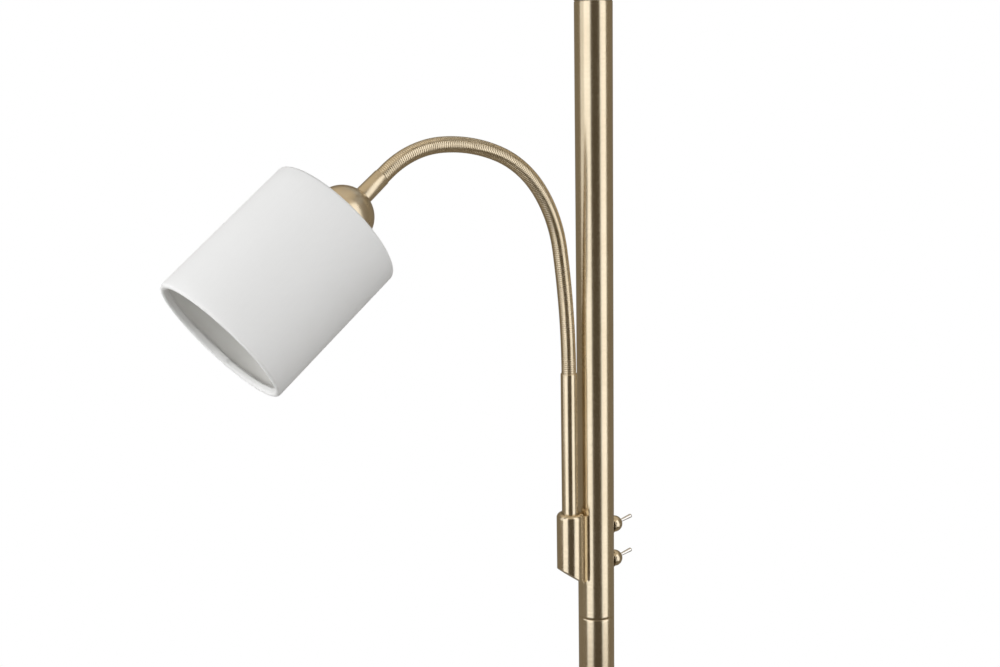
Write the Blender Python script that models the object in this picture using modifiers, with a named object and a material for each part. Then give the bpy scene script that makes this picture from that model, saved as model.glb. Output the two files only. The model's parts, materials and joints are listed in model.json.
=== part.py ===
"""Floor lamp with a straight three-section pole, a drum shade on top and a gooseneck reading arm.

Frame: +Z is up and runs along the pole, the origin is the centre of the base's underside.
The reading arm lies in the XZ plane on the -X side, the two toggle switches are on the +X side.
"""

import bpy
import bmesh
from math import asin, atan, cos, degrees, pi, radians, sin
from mathutils import Matrix, Vector

MM = 0.001
GAP = 0.3 * MM              # clearance left between pieces that touch

# Base
BASE_RADIUS = 130 * MM
BASE_HEIGHT = 25 * MM
PAD_THICKNESS = 2 * MM
COVER_WALL = 1.2 * MM
NIPPLE_RADIUS = 5 * MM
GLAND_HEIGHT = 8 * MM

# Pole: three tubes, joined by inner couplers. The lowest is a little longer, as it stands in the base
POLE_RADIUS = 14 * MM
POLE_WALL = 1.2 * MM
SECTION_LENGTH = 468.5 * MM
FIRST_JOINT_HEIGHT = 507 * MM
COUPLER_HALF_LENGTH = 28 * MM
SLEEVE_LENGTH = 40 * MM     # the short tube above the third joint
POLE_SIDES = 24

# Reading arm
ARM_OFFSET = 25.2 * MM      # arm tube axis from the pole axis
ARM_TUBE_RADIUS = 6.2 * MM
BRACKET_TOP = 1063.8 * MM
BRACKET_DROP = 51 * MM      # from the barrel's top to its slanted bottom, on the barrel's axis
BRACKET_SLANT = 0.77        # how fast the barrel's bottom drops towards the pole
BARREL_RADIUS = 10.35 * MM
BARREL_SHOULDER = 3.5 * MM  # rounding of the barrel's top edge
SADDLE_TOP = BRACKET_TOP - 3.4 * MM
SADDLE_BOTTOM = BRACKET_TOP - 56.6 * MM
SADDLE_HALF_WIDTH = 7.8 * MM
TUBE_SEAT = BRACKET_TOP - 33 * MM       # the arm tube stands on it, inside the barrel
GRUB_HEIGHT = BRACKET_TOP - 18 * MM
ARM_NIPPLE_HEIGHT = BRACKET_TOP - 39.3 * MM
NECK_START = 1173.2 * MM    # where the smooth tube ends and the gooseneck begins
NECK_RADIUS = 5.4 * MM
NECK_SECTION = 47 * MM
NECK_TAIL = 7 * MM           # straight, beyond the last section
NECK_TURNS = (4.6, 4, 26, 34, 23, 37)     # degrees that each gooseneck section curves at rest
NECK_CLEARANCE = 3 * MM     # between two sections, so that their ends can tip towards each other
FERRULE_LENGTH = 16 * MM

# Reading head, measured along its own axis from the shade's top plane
READING_SHADE_RADIUS = 50 * MM
READING_SHADE_HEIGHT = 109 * MM
DOME_RADIUS = 20.8 * MM
DOME_HEIGHT = 27 * MM

# Top light
TOP_SHADE_RADIUS = 180 * MM
TOP_SHADE_HEIGHT = 220 * MM
TOP_SHADE_BOTTOM = 1540 * MM
SHADE_WALL = 1.2 * MM
SHADE_SIDES = 28

# Toggle switches
SWITCH_HEIGHTS = {"upper": 1045.8 * MM, "lower": 1017.6 * MM}
BALL_RADIUS = 6.4 * MM
BALL_OFFSET = 18.4 * MM
LEVER_PIVOT = 19.5 * MM
LEVER_TIP = 36 * MM
LEVER_TILT = 11             # degrees above level when switched on

SECOND_JOINT_HEIGHT = FIRST_JOINT_HEIGHT + SECTION_LENGTH
THIRD_JOINT_HEIGHT = SECOND_JOINT_HEIGHT + SECTION_LENGTH
POLE_BORE = POLE_RADIUS - POLE_WALL


# ---------------------------------------------------------------- scene and materials

for old in list(bpy.data.objects):
    bpy.data.objects.remove(old, do_unlink=True)

parts = bpy.data.collections.new("floor_lamp_with_reading_arm")
cutters = bpy.data.collections.new("cutters")
frames = bpy.data.collections.new("joint_frames")
for group in (parts, cutters, frames):
    bpy.context.scene.collection.children.link(group)


def material(name, colour, roughness, metallic):
    made = bpy.data.materials.new(name)
    made.use_nodes = True
    shader = made.node_tree.nodes["Principled BSDF"]
    shader.inputs["Base Color"].default_value = (*colour, 1)
    shader.inputs["Roughness"].default_value = roughness
    shader.inputs["Metallic"].default_value = metallic
    made.diffuse_color = (*colour, 1)
    return made


BRASS = material("satin_brass", (0.66, 0.53, 0.33), 0.28, 1.0)
CHROME = material("chrome", (0.75, 0.75, 0.76), 0.1, 1.0)
STEEL = material("zinc_plated_steel", (0.55, 0.56, 0.57), 0.35, 1.0)
IRON = material("cast_iron", (0.12, 0.12, 0.12), 0.7, 0.6)
FELT = material("black_felt", (0.03, 0.03, 0.03), 0.95, 0.0)
FABRIC = material("white_fabric", (0.86, 0.86, 0.85), 0.9, 0.0)
WHITE_WIRE = material("white_painted_wire", (0.85, 0.85, 0.84), 0.4, 0.0)
PLASTIC = material("black_phenolic", (0.03, 0.03, 0.03), 0.35, 0.0)
GLASS = material("opal_glass", (0.93, 0.92, 0.9), 0.15, 0.0)
LEAD = material("lead_sheath", (0.25, 0.2, 0.12), 0.5, 0.0)


# ---------------------------------------------------------------- building tools

def add(name, mesh, surface):
    """A new part with its own copy of the surface material."""
    piece = bpy.data.objects.new(name, mesh)
    own = surface.copy()
    own.name = name + "_" + surface.name
    mesh.materials.clear()
    mesh.materials.append(own)
    parts.objects.link(piece)
    return piece


def turned(name, profile, surface, hollow=True, steps=16):
    """A turned piece about Z. The profile lists (radius, height) down the outer side, then back up."""
    mesh = bpy.data.meshes.new(name)
    shape = bmesh.new()
    points = [shape.verts.new((radius, 0, height)) for radius, height in profile]
    for first, second in zip(points, points[1:]):
        shape.edges.new((first, second))
    if hollow:
        shape.edges.new((points[-1], points[0]))
    shape.to_mesh(mesh)
    shape.free()
    piece = add(name, mesh, surface)
    screw = piece.modifiers.new("turning", "SCREW")
    screw.steps = steps
    screw.render_steps = steps
    screw.use_merge_vertices = True
    screw.merge_threshold = 0.00001
    return piece


def ring(name, outer, bore, low, high, surface, steps=16, chamfer=0.0):
    """A plain tube or washer about Z, with its outer edges chamfered if asked."""
    profile = [
        (outer - chamfer, high), (outer, high - chamfer), (outer, low + chamfer), (outer - chamfer, low),
        (bore, low), (bore, high),
    ]
    if chamfer == 0:
        profile = [(outer, high), (outer, low), (bore, low), (bore, high)]
    return turned(name, profile, surface, steps=steps)


def disc(name, radius, low, high, surface, steps=32, chamfer=0.5 * MM):
    """A solid round piece about Z with chamfered edges."""
    profile = [
        (0, high), (radius - chamfer, high), (radius, high - chamfer),
        (radius, low + chamfer), (radius - chamfer, low), (0, low),
    ]
    return turned(name, profile, surface, hollow=False, steps=steps)


def arc(radius, centre, start, end, count):
    """Points (radius, height) on an arc about a centre, from the start angle to the end, in degrees."""
    points = []
    for step in range(count + 1):
        angle = radians(start + (end - start) * step / count)
        points.append((centre[0] + radius * cos(angle), centre[1] + radius * sin(angle)))
    return points


def prism(name, size, centre, surface):
    """A box with slightly rounded edges."""
    mesh = bpy.data.meshes.new(name)
    shape = bmesh.new()
    bmesh.ops.create_cube(shape, size=1)
    bmesh.ops.scale(shape, vec=size, verts=shape.verts)
    shape.to_mesh(mesh)
    shape.free()
    piece = add(name, mesh, surface)
    piece.location = centre
    bevel = piece.modifiers.new("edges", "BEVEL")
    bevel.width = 0.4 * MM
    bevel.segments = 1
    return piece


def hexagon(name, across, bore, low, high, surface):
    """A hexagonal nut about Z. Its bore is a hexagon too, whose flats clear the thread."""
    corner = bore / cos(radians(30))
    return turned(name, [(across, high), (across, low), (corner, low), (corner, high)], surface, steps=6)


def wire(name, points, thickness, surface):
    """A round lead along the points, as a closed mesh."""
    curve = bpy.data.curves.new(name, "CURVE")
    curve.dimensions = "3D"
    curve.bevel_depth = thickness / 2
    curve.bevel_resolution = 2
    curve.use_fill_caps = True
    line = curve.splines.new("POLY")
    line.points.add(len(points) - 1)
    for point, place in zip(line.points, points):
        point.co = (*place, 1)
    guide = bpy.data.objects.new(name + "_guide", curve)
    parts.objects.link(guide)
    mesh = as_mesh(guide)
    bpy.data.objects.remove(guide, do_unlink=True)
    return add(name, mesh, surface)


def as_mesh(source):
    """The evaluated mesh of a curve or of a piece with modifiers, with its caps welded."""
    bpy.context.view_layer.update()
    evaluated = source.evaluated_get(bpy.context.evaluated_depsgraph_get())
    mesh = bpy.data.meshes.new_from_object(evaluated)
    shape = bmesh.new()
    shape.from_mesh(mesh)
    bmesh.ops.remove_doubles(shape, verts=shape.verts, dist=0.00001)
    shape.to_mesh(mesh)
    shape.free()
    return mesh


def cylinder_cutter(name, radius, start, end, sides=12):
    """A round cutter from start to end."""
    start = Vector(start)
    end = Vector(end)
    mesh = bpy.data.meshes.new(name)
    shape = bmesh.new()
    bmesh.ops.create_cone(
        shape, cap_ends=True, segments=sides, radius1=radius, radius2=radius, depth=(end - start).length)
    shape.to_mesh(mesh)
    shape.free()
    return place_cutter(name, mesh, Matrix.Translation((start + end) / 2)
                        @ (end - start).to_track_quat("Z", "Y").to_matrix().to_4x4())


def box_cutter(name, low, high):
    """A box cutter between two corners."""
    low = Vector(low)
    high = Vector(high)
    mesh = bpy.data.meshes.new(name)
    shape = bmesh.new()
    bmesh.ops.create_cube(shape, size=1)
    bmesh.ops.scale(shape, vec=high - low, verts=shape.verts)
    shape.to_mesh(mesh)
    shape.free()
    return place_cutter(name, mesh, Matrix.Translation((low + high) / 2))


def place_cutter(name, mesh, matrix):
    cutter = bpy.data.objects.new(name, mesh)
    cutter.matrix_world = matrix
    cutter.hide_render = True
    cutter.display_type = "WIRE"
    cutters.objects.link(cutter)
    return cutter


def combine(piece, tool, operation="DIFFERENCE"):
    boolean = piece.modifiers.new(operation.lower(), "BOOLEAN")
    boolean.operation = operation
    boolean.solver = "EXACT"
    boolean.object = tool
    return piece


def joint_frame(name, place, parent=None):
    """An empty on a joint's axis, which the pieces that move with the joint are parented to."""
    empty = bpy.data.objects.new(name, None)
    empty.location = place
    empty.empty_display_size = 0.02
    frames.objects.link(empty)
    if parent:
        attach(empty, parent)
    return empty


def attach(child, parent):
    """Parents the child and keeps it where it is."""
    bpy.context.view_layer.update()
    child.parent = parent
    child.matrix_parent_inverse = parent.matrix_world.inverted()


# ---------------------------------------------------------------- base

def build_base():
    """A weighted round foot: pad, cast weight, spun brass cover, and the tie that holds the pole on."""
    disc("base_pad", BASE_RADIUS - 8 * MM, 0, PAD_THICKNESS, FELT, steps=28)

    weight_top = BASE_HEIGHT - COVER_WALL - GAP
    recess_top = 14.3 * MM
    recess = 16 * MM
    channel_top = 11 * MM
    weight_bottom = PAD_THICKNESS + GAP
    weight_radius = BASE_RADIUS - 8 * MM
    weight = turned("base_weight", [
        (weight_radius - 6 * MM, weight_top), (weight_radius, weight_top - 6 * MM),
        (weight_radius, weight_bottom), (recess, weight_bottom),
        (recess, recess_top), (NIPPLE_RADIUS + GAP, recess_top), (NIPPLE_RADIUS + GAP, weight_top),
    ], IRON, steps=28)
    combine(weight, box_cutter("lead_channel", (10 * MM, -4 * MM, 0), (BASE_RADIUS, 4 * MM, channel_top)))

    rounding = 7 * MM
    rim = 0.8 * MM
    centre = (BASE_RADIUS - rounding, BASE_HEIGHT - rounding)
    outer = arc(rounding, centre, 90, 0, 4)
    inner = arc(rounding - COVER_WALL, centre, 0, 90, 4)
    bore = NIPPLE_RADIUS + GAP
    cover = turned("base_cover", [
        (bore, BASE_HEIGHT), *outer, (BASE_RADIUS, rim), (BASE_RADIUS - COVER_WALL, rim),
        *inner, (bore, BASE_HEIGHT - COVER_WALL),
    ], BRASS, steps=28)
    combine(cover, cylinder_cutter("gland_hole", 4.6 * MM, (BASE_RADIUS - 6 * MM, 0, GLAND_HEIGHT),
                                   (BASE_RADIUS + 6 * MM, 0, GLAND_HEIGHT)))

    gland = turned("cable_gland", [
        (5.2 * MM, 4 * MM), (6.2 * MM, 3 * MM), (6.2 * MM, 0.6 * MM), (4.2 * MM, 0.6 * MM),
        (4.2 * MM, -1.8 * MM), (5.6 * MM, -1.8 * MM), (5.6 * MM, -3.4 * MM),
        (3 * MM, -3.4 * MM), (3 * MM, 4 * MM),
    ], PLASTIC, steps=16)
    gland.location = (BASE_RADIUS, 0, GLAND_HEIGHT)
    gland.rotation_euler = (0, pi / 2, 0)

    ring("base_tie_tube", NIPPLE_RADIUS, 3.7 * MM, 7.6 * MM, 58 * MM, STEEL, steps=16)
    nut = hexagon("base_tie_nut", 10.5 * MM, NIPPLE_RADIUS + GAP, 8.6 * MM, recess_top - GAP, STEEL)
    nut.rotation_euler = (0, 0, radians(30))

    floor = BASE_HEIGHT + GAP
    turned("pole_foot_collar", [
        (19 * MM, floor + 7 * MM), *arc(4 * MM, (19 * MM, floor + 3 * MM), 60, 0, 2), (23 * MM, floor),
        (POLE_RADIUS + GAP, floor), (POLE_RADIUS + GAP, floor + 7 * MM),
    ], BRASS, steps=POLE_SIDES)


# ---------------------------------------------------------------- pole

def build_pole():
    """Three brass tubes end to end, each pair held by a coupler inside, and the sleeve above them."""
    foot = BASE_HEIGHT + GAP
    joints = (FIRST_JOINT_HEIGHT, SECOND_JOINT_HEIGHT, THIRD_JOINT_HEIGHT)
    ends = {
        "pole_lower_tube": (foot, joints[0]),
        "pole_middle_tube": (joints[0], joints[1]),
        "pole_upper_tube": (joints[1], joints[2]),
        "pole_top_sleeve": (joints[2], joints[2] + SLEEVE_LENGTH),
    }
    tubes = {}
    for name, (low, high) in ends.items():
        tubes[name] = ring(name, POLE_RADIUS, POLE_BORE, low + GAP / 2, high - GAP / 2, BRASS,
                           steps=POLE_SIDES, chamfer=0.35 * MM)

    ring("foot_coupler", POLE_BORE - GAP, NIPPLE_RADIUS + GAP, foot, foot + 30 * MM, STEEL)
    for name, height in zip(("lower_coupler", "upper_coupler", "top_coupler"), joints):
        ring(name, POLE_BORE - GAP, 9 * MM, height - COUPLER_HALF_LENGTH, height + COUPLER_HALF_LENGTH,
             STEEL, chamfer=0.8 * MM)

    upper = tubes["pole_upper_tube"]
    for level, height in SWITCH_HEIGHTS.items():
        combine(upper, cylinder_cutter(f"switch_hole_{level}", 3.3 * MM,
                                       (8 * MM, 0, height), (18 * MM, 0, height)))
    combine(upper, cylinder_cutter("arm_lead_hole", 4.3 * MM, (-18 * MM, 0, ARM_NIPPLE_HEIGHT),
                                   (-8 * MM, 0, ARM_NIPPLE_HEIGHT)))


# ---------------------------------------------------------------- reading arm

def build_bracket():
    """The cast bracket: a barrel that takes the arm tube, on a saddle that hugs the pole."""
    lowest = BRACKET_TOP - 63 * MM
    shoulder_centre = (BARREL_RADIUS - BARREL_SHOULDER, BRACKET_TOP - BARREL_SHOULDER)
    barrel = turned("arm_bracket", [
        (0, BRACKET_TOP), *arc(BARREL_SHOULDER, shoulder_centre, 90, 0, 4),
        (BARREL_RADIUS, lowest), (0, lowest),
    ], BRASS, hollow=False, steps=32)
    barrel.location.x = -ARM_OFFSET

    saddle_outer = POLE_RADIUS + 2.2 * MM
    saddle = turned("saddle_stock", [
        (saddle_outer, SADDLE_TOP), (saddle_outer, SADDLE_BOTTOM),
        (POLE_RADIUS - 1 * MM, SADDLE_BOTTOM), (POLE_RADIUS - 1 * MM, SADDLE_TOP),
    ], BRASS, steps=POLE_SIDES)
    parts.objects.unlink(saddle)
    cutters.objects.link(saddle)
    saddle.hide_render = True
    saddle.display_type = "WIRE"
    keep = box_cutter("saddle_width", (-20 * MM, -SADDLE_HALF_WIDTH, SADDLE_BOTTOM - GAP),
                      (-10 * MM, SADDLE_HALF_WIDTH, SADDLE_TOP + GAP))
    corner = keep.modifiers.new("corners", "BEVEL")
    corner.width = 3 * MM
    corner.segments = 3
    combine(saddle, keep, "INTERSECT")

    slant = box_cutter("barrel_slant", (-40 * MM, -20 * MM, -40 * MM), (40 * MM, 20 * MM, 0))
    slant.matrix_world = (Matrix.Translation((-ARM_OFFSET, 0, BRACKET_TOP - BRACKET_DROP))
                          @ Matrix.Rotation(atan(BRACKET_SLANT), 4, "Y")
                          @ Matrix.Translation((0, 0, -20 * MM)))
    pole_room = cylinder_cutter("pole_clearance", POLE_RADIUS + GAP, (0, 0, lowest - 10 * MM),
                                (0, 0, BRACKET_TOP + 10 * MM), sides=POLE_SIDES)
    tube_bore = cylinder_cutter("tube_bore", ARM_TUBE_RADIUS + GAP, (-ARM_OFFSET, 0, TUBE_SEAT),
                                (-ARM_OFFSET, 0, BRACKET_TOP + 5 * MM), sides=20)
    lead_well = cylinder_cutter("lead_well", 5 * MM, (-ARM_OFFSET, 0, TUBE_SEAT - 11.5 * MM),
                                (-ARM_OFFSET, 0, TUBE_SEAT + 5 * MM))
    nipple_hole = cylinder_cutter("nipple_hole", 4.1 * MM, (-ARM_OFFSET, 0, ARM_NIPPLE_HEIGHT),
                                  (0, 0, ARM_NIPPLE_HEIGHT))
    grub_hole = cylinder_cutter("grub_hole", 2.05 * MM, (-ARM_OFFSET, 0, GRUB_HEIGHT),
                                (-ARM_OFFSET, 15 * MM, GRUB_HEIGHT), sides=16)
    combine(barrel, slant)
    combine(barrel, saddle, "UNION")
    for tool in (pole_room, tube_bore, lead_well, nipple_hole, grub_hole):
        combine(barrel, tool)

    grub = disc("arm_grub_screw", 1.7 * MM, 0, 3.2 * MM, STEEL, steps=12, chamfer=0.2 * MM)
    grub.location = (-ARM_OFFSET, ARM_TUBE_RADIUS + 0.4 * MM, GRUB_HEIGHT)
    grub.rotation_euler = (-pi / 2, 0, 0)

    nipple = ring("arm_nipple", 3.8 * MM, 2.7 * MM, 0, 12 * MM, STEEL, steps=16)
    nipple.location = (-20.8 * MM, 0, ARM_NIPPLE_HEIGHT)
    nipple.rotation_euler = (0, pi / 2, 0)
    nut = hexagon("arm_nipple_nut", 6.2 * MM, 4.1 * MM, 0, 2.6 * MM, STEEL)
    nut.location = (-10.8 * MM, 0, ARM_NIPPLE_HEIGHT)
    nut.rotation_euler = (0, pi / 2, 0)


def neck_section_points(start, heading, turn, count=5):
    """Points along one curved gooseneck section, and its end heading.

    Places are (reach from the pole axis, height), the heading is in degrees above level,
    and a positive turn curls the neck outwards and down.
    """
    points = [start]
    step = NECK_SECTION / count
    for _ in range(count):
        heading -= turn / count / 2
        reach = points[-1][0] + step * cos(radians(heading))
        height = points[-1][1] + step * sin(radians(heading))
        points.append((reach, height))
        heading -= turn / count / 2
    return points, heading


def pipe(name, points, radius, bore, surface):
    """A bent round tube along (reach, height) points in the arm's plane, open at both ends."""
    curve = bpy.data.curves.new(name, "CURVE")
    curve.dimensions = "3D"
    curve.bevel_depth = radius
    curve.bevel_resolution = 3
    curve.use_fill_caps = False
    line = curve.splines.new("POLY")
    line.points.add(len(points) - 1)
    for point, (reach, height) in zip(line.points, points):
        point.co = (-reach, 0, height, 1)
    guide = bpy.data.objects.new(name + "_guide", curve)
    parts.objects.link(guide)
    mesh = as_mesh(guide)
    bpy.data.objects.remove(guide, do_unlink=True)
    piece = add(name, mesh, surface)
    wall = piece.modifiers.new("wall", "SOLIDIFY")
    wall.thickness = radius - bore
    wall.offset = -1
    return piece


def trimmed(points, start_trim, end_trim):
    """The points with the two ends pulled in along their own directions."""
    points = [Vector(point) for point in points]
    if start_trim:
        points[0] = points[0] + (points[1] - points[0]).normalized() * start_trim
    if end_trim:
        points[-1] = points[-1] + (points[-2] - points[-1]).normalized() * end_trim
    return [tuple(point) for point in points]


def build_neck():
    """The arm tube and the gooseneck, in sections that turn on each other. Returns the end's place."""
    tube = ring("arm_tube", ARM_TUBE_RADIUS, ARM_TUBE_RADIUS - 1 * MM, TUBE_SEAT + GAP,
                NECK_START - GAP / 2, BRASS, chamfer=0.3 * MM)
    tube.location.x = -ARM_OFFSET
    place = (ARM_OFFSET, NECK_START)
    heading = 90
    frame = None
    last = len(NECK_TURNS)
    for number, turn in enumerate(NECK_TURNS, start=1):
        points, heading = neck_section_points(place, heading, turn)
        if number == last:
            end_reach, end_height = points[-1]
            points.append((end_reach + NECK_TAIL * cos(radians(heading)),
                           end_height + NECK_TAIL * sin(radians(heading))))
        lead_in = GAP / 2 if number == 1 else NECK_CLEARANCE / 2
        lead_out = GAP / 2 if number == last else NECK_CLEARANCE / 2
        piece = pipe(f"gooseneck_{number}", trimmed(points, lead_in, lead_out), NECK_RADIUS, 3 * MM, BRASS)
        if number > 1:
            frame = joint_frame(f"neck_joint_{number - 1}", (-place[0], 0, place[1]), frame)
            attach(piece, frame)
        place = points[-1]
        if number == last:
            return place, heading, frame


# ---------------------------------------------------------------- reading head

def head_frame(place, heading, parent):
    """An empty at the centre of the reading shade's top plane, with +Z back along the head's axis."""
    along = DOME_HEIGHT + FERRULE_LENGTH
    reach = place[0] + along * cos(radians(heading))
    height = place[1] + along * sin(radians(heading))
    frame = bpy.data.objects.new("reading_head_frame", None)
    frame.empty_display_size = 0.03
    frames.objects.link(frame)
    frame.matrix_world = (Matrix.Translation((-reach, 0, height))
                          @ Matrix.Rotation(radians(90 + heading), 4, "Y"))
    attach(frame, parent)
    return frame


def hoop(name, radius, wire_radius, height, surface):
    """A wire ring about Z."""
    return turned(name, arc(wire_radius, (radius, height), 0, -300, 5), surface, steps=SHADE_SIDES)


def spider(name, ring_radius, wire_radius, fitter_outer, fitter_bore, height, surface):
    """A shade carrier: a wire ring, a flat fitter ring and three spokes, as one welded piece."""
    half = 0.75 * MM
    fitter = ring(name, fitter_outer, fitter_bore, height - half, height + half, surface)
    rim = hoop(name + "_rim", ring_radius, wire_radius, height, surface)
    parts.objects.unlink(rim)
    cutters.objects.link(rim)
    rim.hide_render = True
    rim.display_type = "WIRE"
    tools = [rim]
    for spoke in range(3):
        angle = radians(120 * spoke + 30)
        way = Vector((cos(angle), sin(angle), 0))
        level = Vector((0, 0, height))
        inner_end = way * (fitter_outer - 2 * MM) + level
        outer_end = way * ring_radius + level
        tools.append(cylinder_cutter(f"{name}_spoke_{spoke + 1}", wire_radius * 0.9,
                                     inner_end, outer_end, sides=8))
    for tool in tools:
        combine(fitter, tool, "UNION")
    return fitter, tools


def bulb(name, radius, stem, length):
    """A closed glass envelope about Z, from its stem at zero to its round tip."""
    profile = arc(radius, (0, length - radius), 90, -25, 6)
    profile[0] = (0, length)
    profile += [(stem + 1.5 * MM, 8 * MM), (stem, 0), (0, 0)]
    return turned(name, profile, GLASS, hollow=False, steps=16)


def build_reading_head(place, heading, frame):
    """Ferrule, dome cap, lampholder, shade and bulb of the reading light."""
    head = head_frame(place, heading, frame)
    top = DOME_HEIGHT
    pieces = []

    ferrule_top = top + FERRULE_LENGTH + 2 * MM
    pocket = NECK_RADIUS + GAP
    pieces.append(turned("gooseneck_ferrule", [
        (ARM_TUBE_RADIUS - GAP, ferrule_top), (ARM_TUBE_RADIUS, ferrule_top - 4 * MM),
        (ARM_TUBE_RADIUS, top - 0.75 * MM), (4.6 * MM, top - 0.2 * MM), (3.2 * MM, top + GAP),
        (3.2 * MM, top + FERRULE_LENGTH - GAP), (pocket, top + FERRULE_LENGTH - GAP), (pocket, ferrule_top),
    ], BRASS))

    wall = 1.2 * MM
    centre = (0, DOME_HEIGHT - DOME_RADIUS)
    start = 90 - degrees(asin(4.5 * MM / DOME_RADIUS))
    base_angle = -degrees(asin((DOME_HEIGHT - DOME_RADIUS + 0.1 * MM) / DOME_RADIUS))
    outer = arc(DOME_RADIUS, centre, start, base_angle, 7)
    inner = arc(DOME_RADIUS - wall, centre, base_angle, start - 1, 7)
    pieces.append(turned("holder_dome", outer + inner, BRASS))

    pieces.append(hexagon("reading_holder_nut", 7.5 * MM, 4.4 * MM, 20.5 * MM, 23.6 * MM, STEEL))
    pieces.append(ring("reading_nipple", 4.1 * MM, 3 * MM, 15.5 * MM, top - 0.4 * MM, STEEL, steps=16))
    holder_top = 15 * MM
    pieces.append(turned("reading_lampholder", [
        (11 * MM, holder_top), (13.4 * MM, holder_top - 2 * MM), (13.4 * MM, -34 * MM),
        (9.4 * MM, -34 * MM), (9.4 * MM, -12 * MM), (3.4 * MM, -12 * MM), (3.4 * MM, holder_top),
    ], PLASTIC))
    pieces.append(ring("reading_shade_nut", 18 * MM, 13.7 * MM, -7.4 * MM, -3 * MM, PLASTIC,
                       steps=16, chamfer=0.6 * MM))

    bore = READING_SHADE_RADIUS - SHADE_WALL
    pieces.append(ring("reading_shade", READING_SHADE_RADIUS, bore, -READING_SHADE_HEIGHT, 0, FABRIC,
                       steps=SHADE_SIDES))
    wire_radius = 1.2 * MM
    hoop_radius = bore - GAP - wire_radius
    carrier, tools = spider("reading_shade_carrier", hoop_radius, wire_radius, 20 * MM, 13.8 * MM,
                            -1.6 * MM, WHITE_WIRE)
    pieces.append(carrier)
    pieces.append(hoop("reading_shade_hoop", hoop_radius, wire_radius, 3 * MM - READING_SHADE_HEIGHT,
                       WHITE_WIRE))

    cap_low = -35 * MM
    cap = turned("reading_bulb_cap", [
        (0, -12.4 * MM), (2.4 * MM, -12.4 * MM), (6.6 * MM, -15.5 * MM), (7 * MM, -17 * MM),
        (7 * MM, cap_low), (0, cap_low),
    ], STEEL, hollow=False, steps=16)
    pieces.append(cap)
    glass = bulb("reading_bulb_glass", 22 * MM, 6.4 * MM, 50 * MM)
    glass.location = (0, 0, cap_low - GAP)
    glass.rotation_euler = (pi, 0, 0)
    pieces.append(glass)

    for piece in pieces + tools:
        piece.parent = head


# ---------------------------------------------------------------- top light

def build_top_light():
    """Reducer, lampholder, drum shade on its carrier, and the bulb above the pole."""
    sleeve_top = THIRD_JOINT_HEIGHT + SLEEVE_LENGTH
    foot = sleeve_top + GAP / 2
    reducer_top = sleeve_top + 8 * MM
    turned("top_reducer", [
        (6.5 * MM, reducer_top), (6.5 * MM, sleeve_top + 6 * MM),
        *arc(5 * MM, (POLE_RADIUS - 5 * MM, sleeve_top + 0.6 * MM), 75, 0, 3), (POLE_RADIUS, foot),
        (NIPPLE_RADIUS + GAP, foot), (NIPPLE_RADIUS + GAP, reducer_top),
    ], BRASS)
    ring("top_nipple", NIPPLE_RADIUS, 3.7 * MM, sleeve_top - 12 * MM, sleeve_top + 10 * MM, STEEL, steps=16)
    hexagon("top_nipple_nut", 9 * MM, NIPPLE_RADIUS + GAP, sleeve_top - 6 * MM, sleeve_top - GAP, STEEL)

    holder = reducer_top + GAP
    bend = (12.5 * MM, holder + 8 * MM)
    cup_top = holder + 24 * MM
    turned("top_holder_cup", [
        (20.5 * MM, cup_top), *arc(8 * MM, bend, 0, -90, 4), (NIPPLE_RADIUS + GAP, holder),
        (NIPPLE_RADIUS + GAP, holder + 1.2 * MM), *arc(6.8 * MM, bend, -90, 0, 4), (19.3 * MM, cup_top),
    ], BRASS)
    seat = holder + 26 * MM
    holder_top = holder + 56 * MM
    turned("top_lampholder", [
        (18.9 * MM, holder_top), (18.9 * MM, holder + 9 * MM), (13 * MM, holder + 2 * MM),
        (4 * MM, holder + 2 * MM), (4 * MM, seat), (14.2 * MM, seat), (14.2 * MM, holder_top),
    ], PLASTIC)

    fitter_height = TOP_SHADE_BOTTOM + 3 * MM
    nut_bore = 19.2 * MM
    nuts = {
        "top_shade_lower_nut": fitter_height - 5.2 * MM,
        "top_shade_upper_nut": fitter_height + 1.2 * MM,
    }
    for name, low in nuts.items():
        ring(name, 25 * MM, nut_bore, low, low + 4 * MM, PLASTIC, steps=24, chamfer=0.8 * MM)

    top = TOP_SHADE_BOTTOM + TOP_SHADE_HEIGHT
    bore = TOP_SHADE_RADIUS - SHADE_WALL
    wire_radius = 1.5 * MM
    hoop_radius = bore - GAP - wire_radius
    ring("top_shade", TOP_SHADE_RADIUS, bore, TOP_SHADE_BOTTOM, top, FABRIC, steps=SHADE_SIDES)
    spider("top_shade_carrier", hoop_radius, wire_radius, 27 * MM, nut_bore, fitter_height, WHITE_WIRE)
    hoop("top_shade_hoop", hoop_radius, wire_radius, top - 3 * MM, WHITE_WIRE)

    cap_top = seat + 28 * MM
    turned("top_bulb_cap", [
        (0, cap_top), (13.2 * MM, cap_top), (13.2 * MM, seat + 8 * MM), (9 * MM, seat + 5 * MM),
        (4 * MM, seat + 2.4 * MM), (0, seat + 2.4 * MM),
    ], STEEL, hollow=False, steps=16)
    glass = bulb("top_bulb_glass", 30 * MM, 12.5 * MM, 82 * MM)
    glass.location = (0, 0, cap_top + GAP)


# ---------------------------------------------------------------- toggle switches

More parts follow.
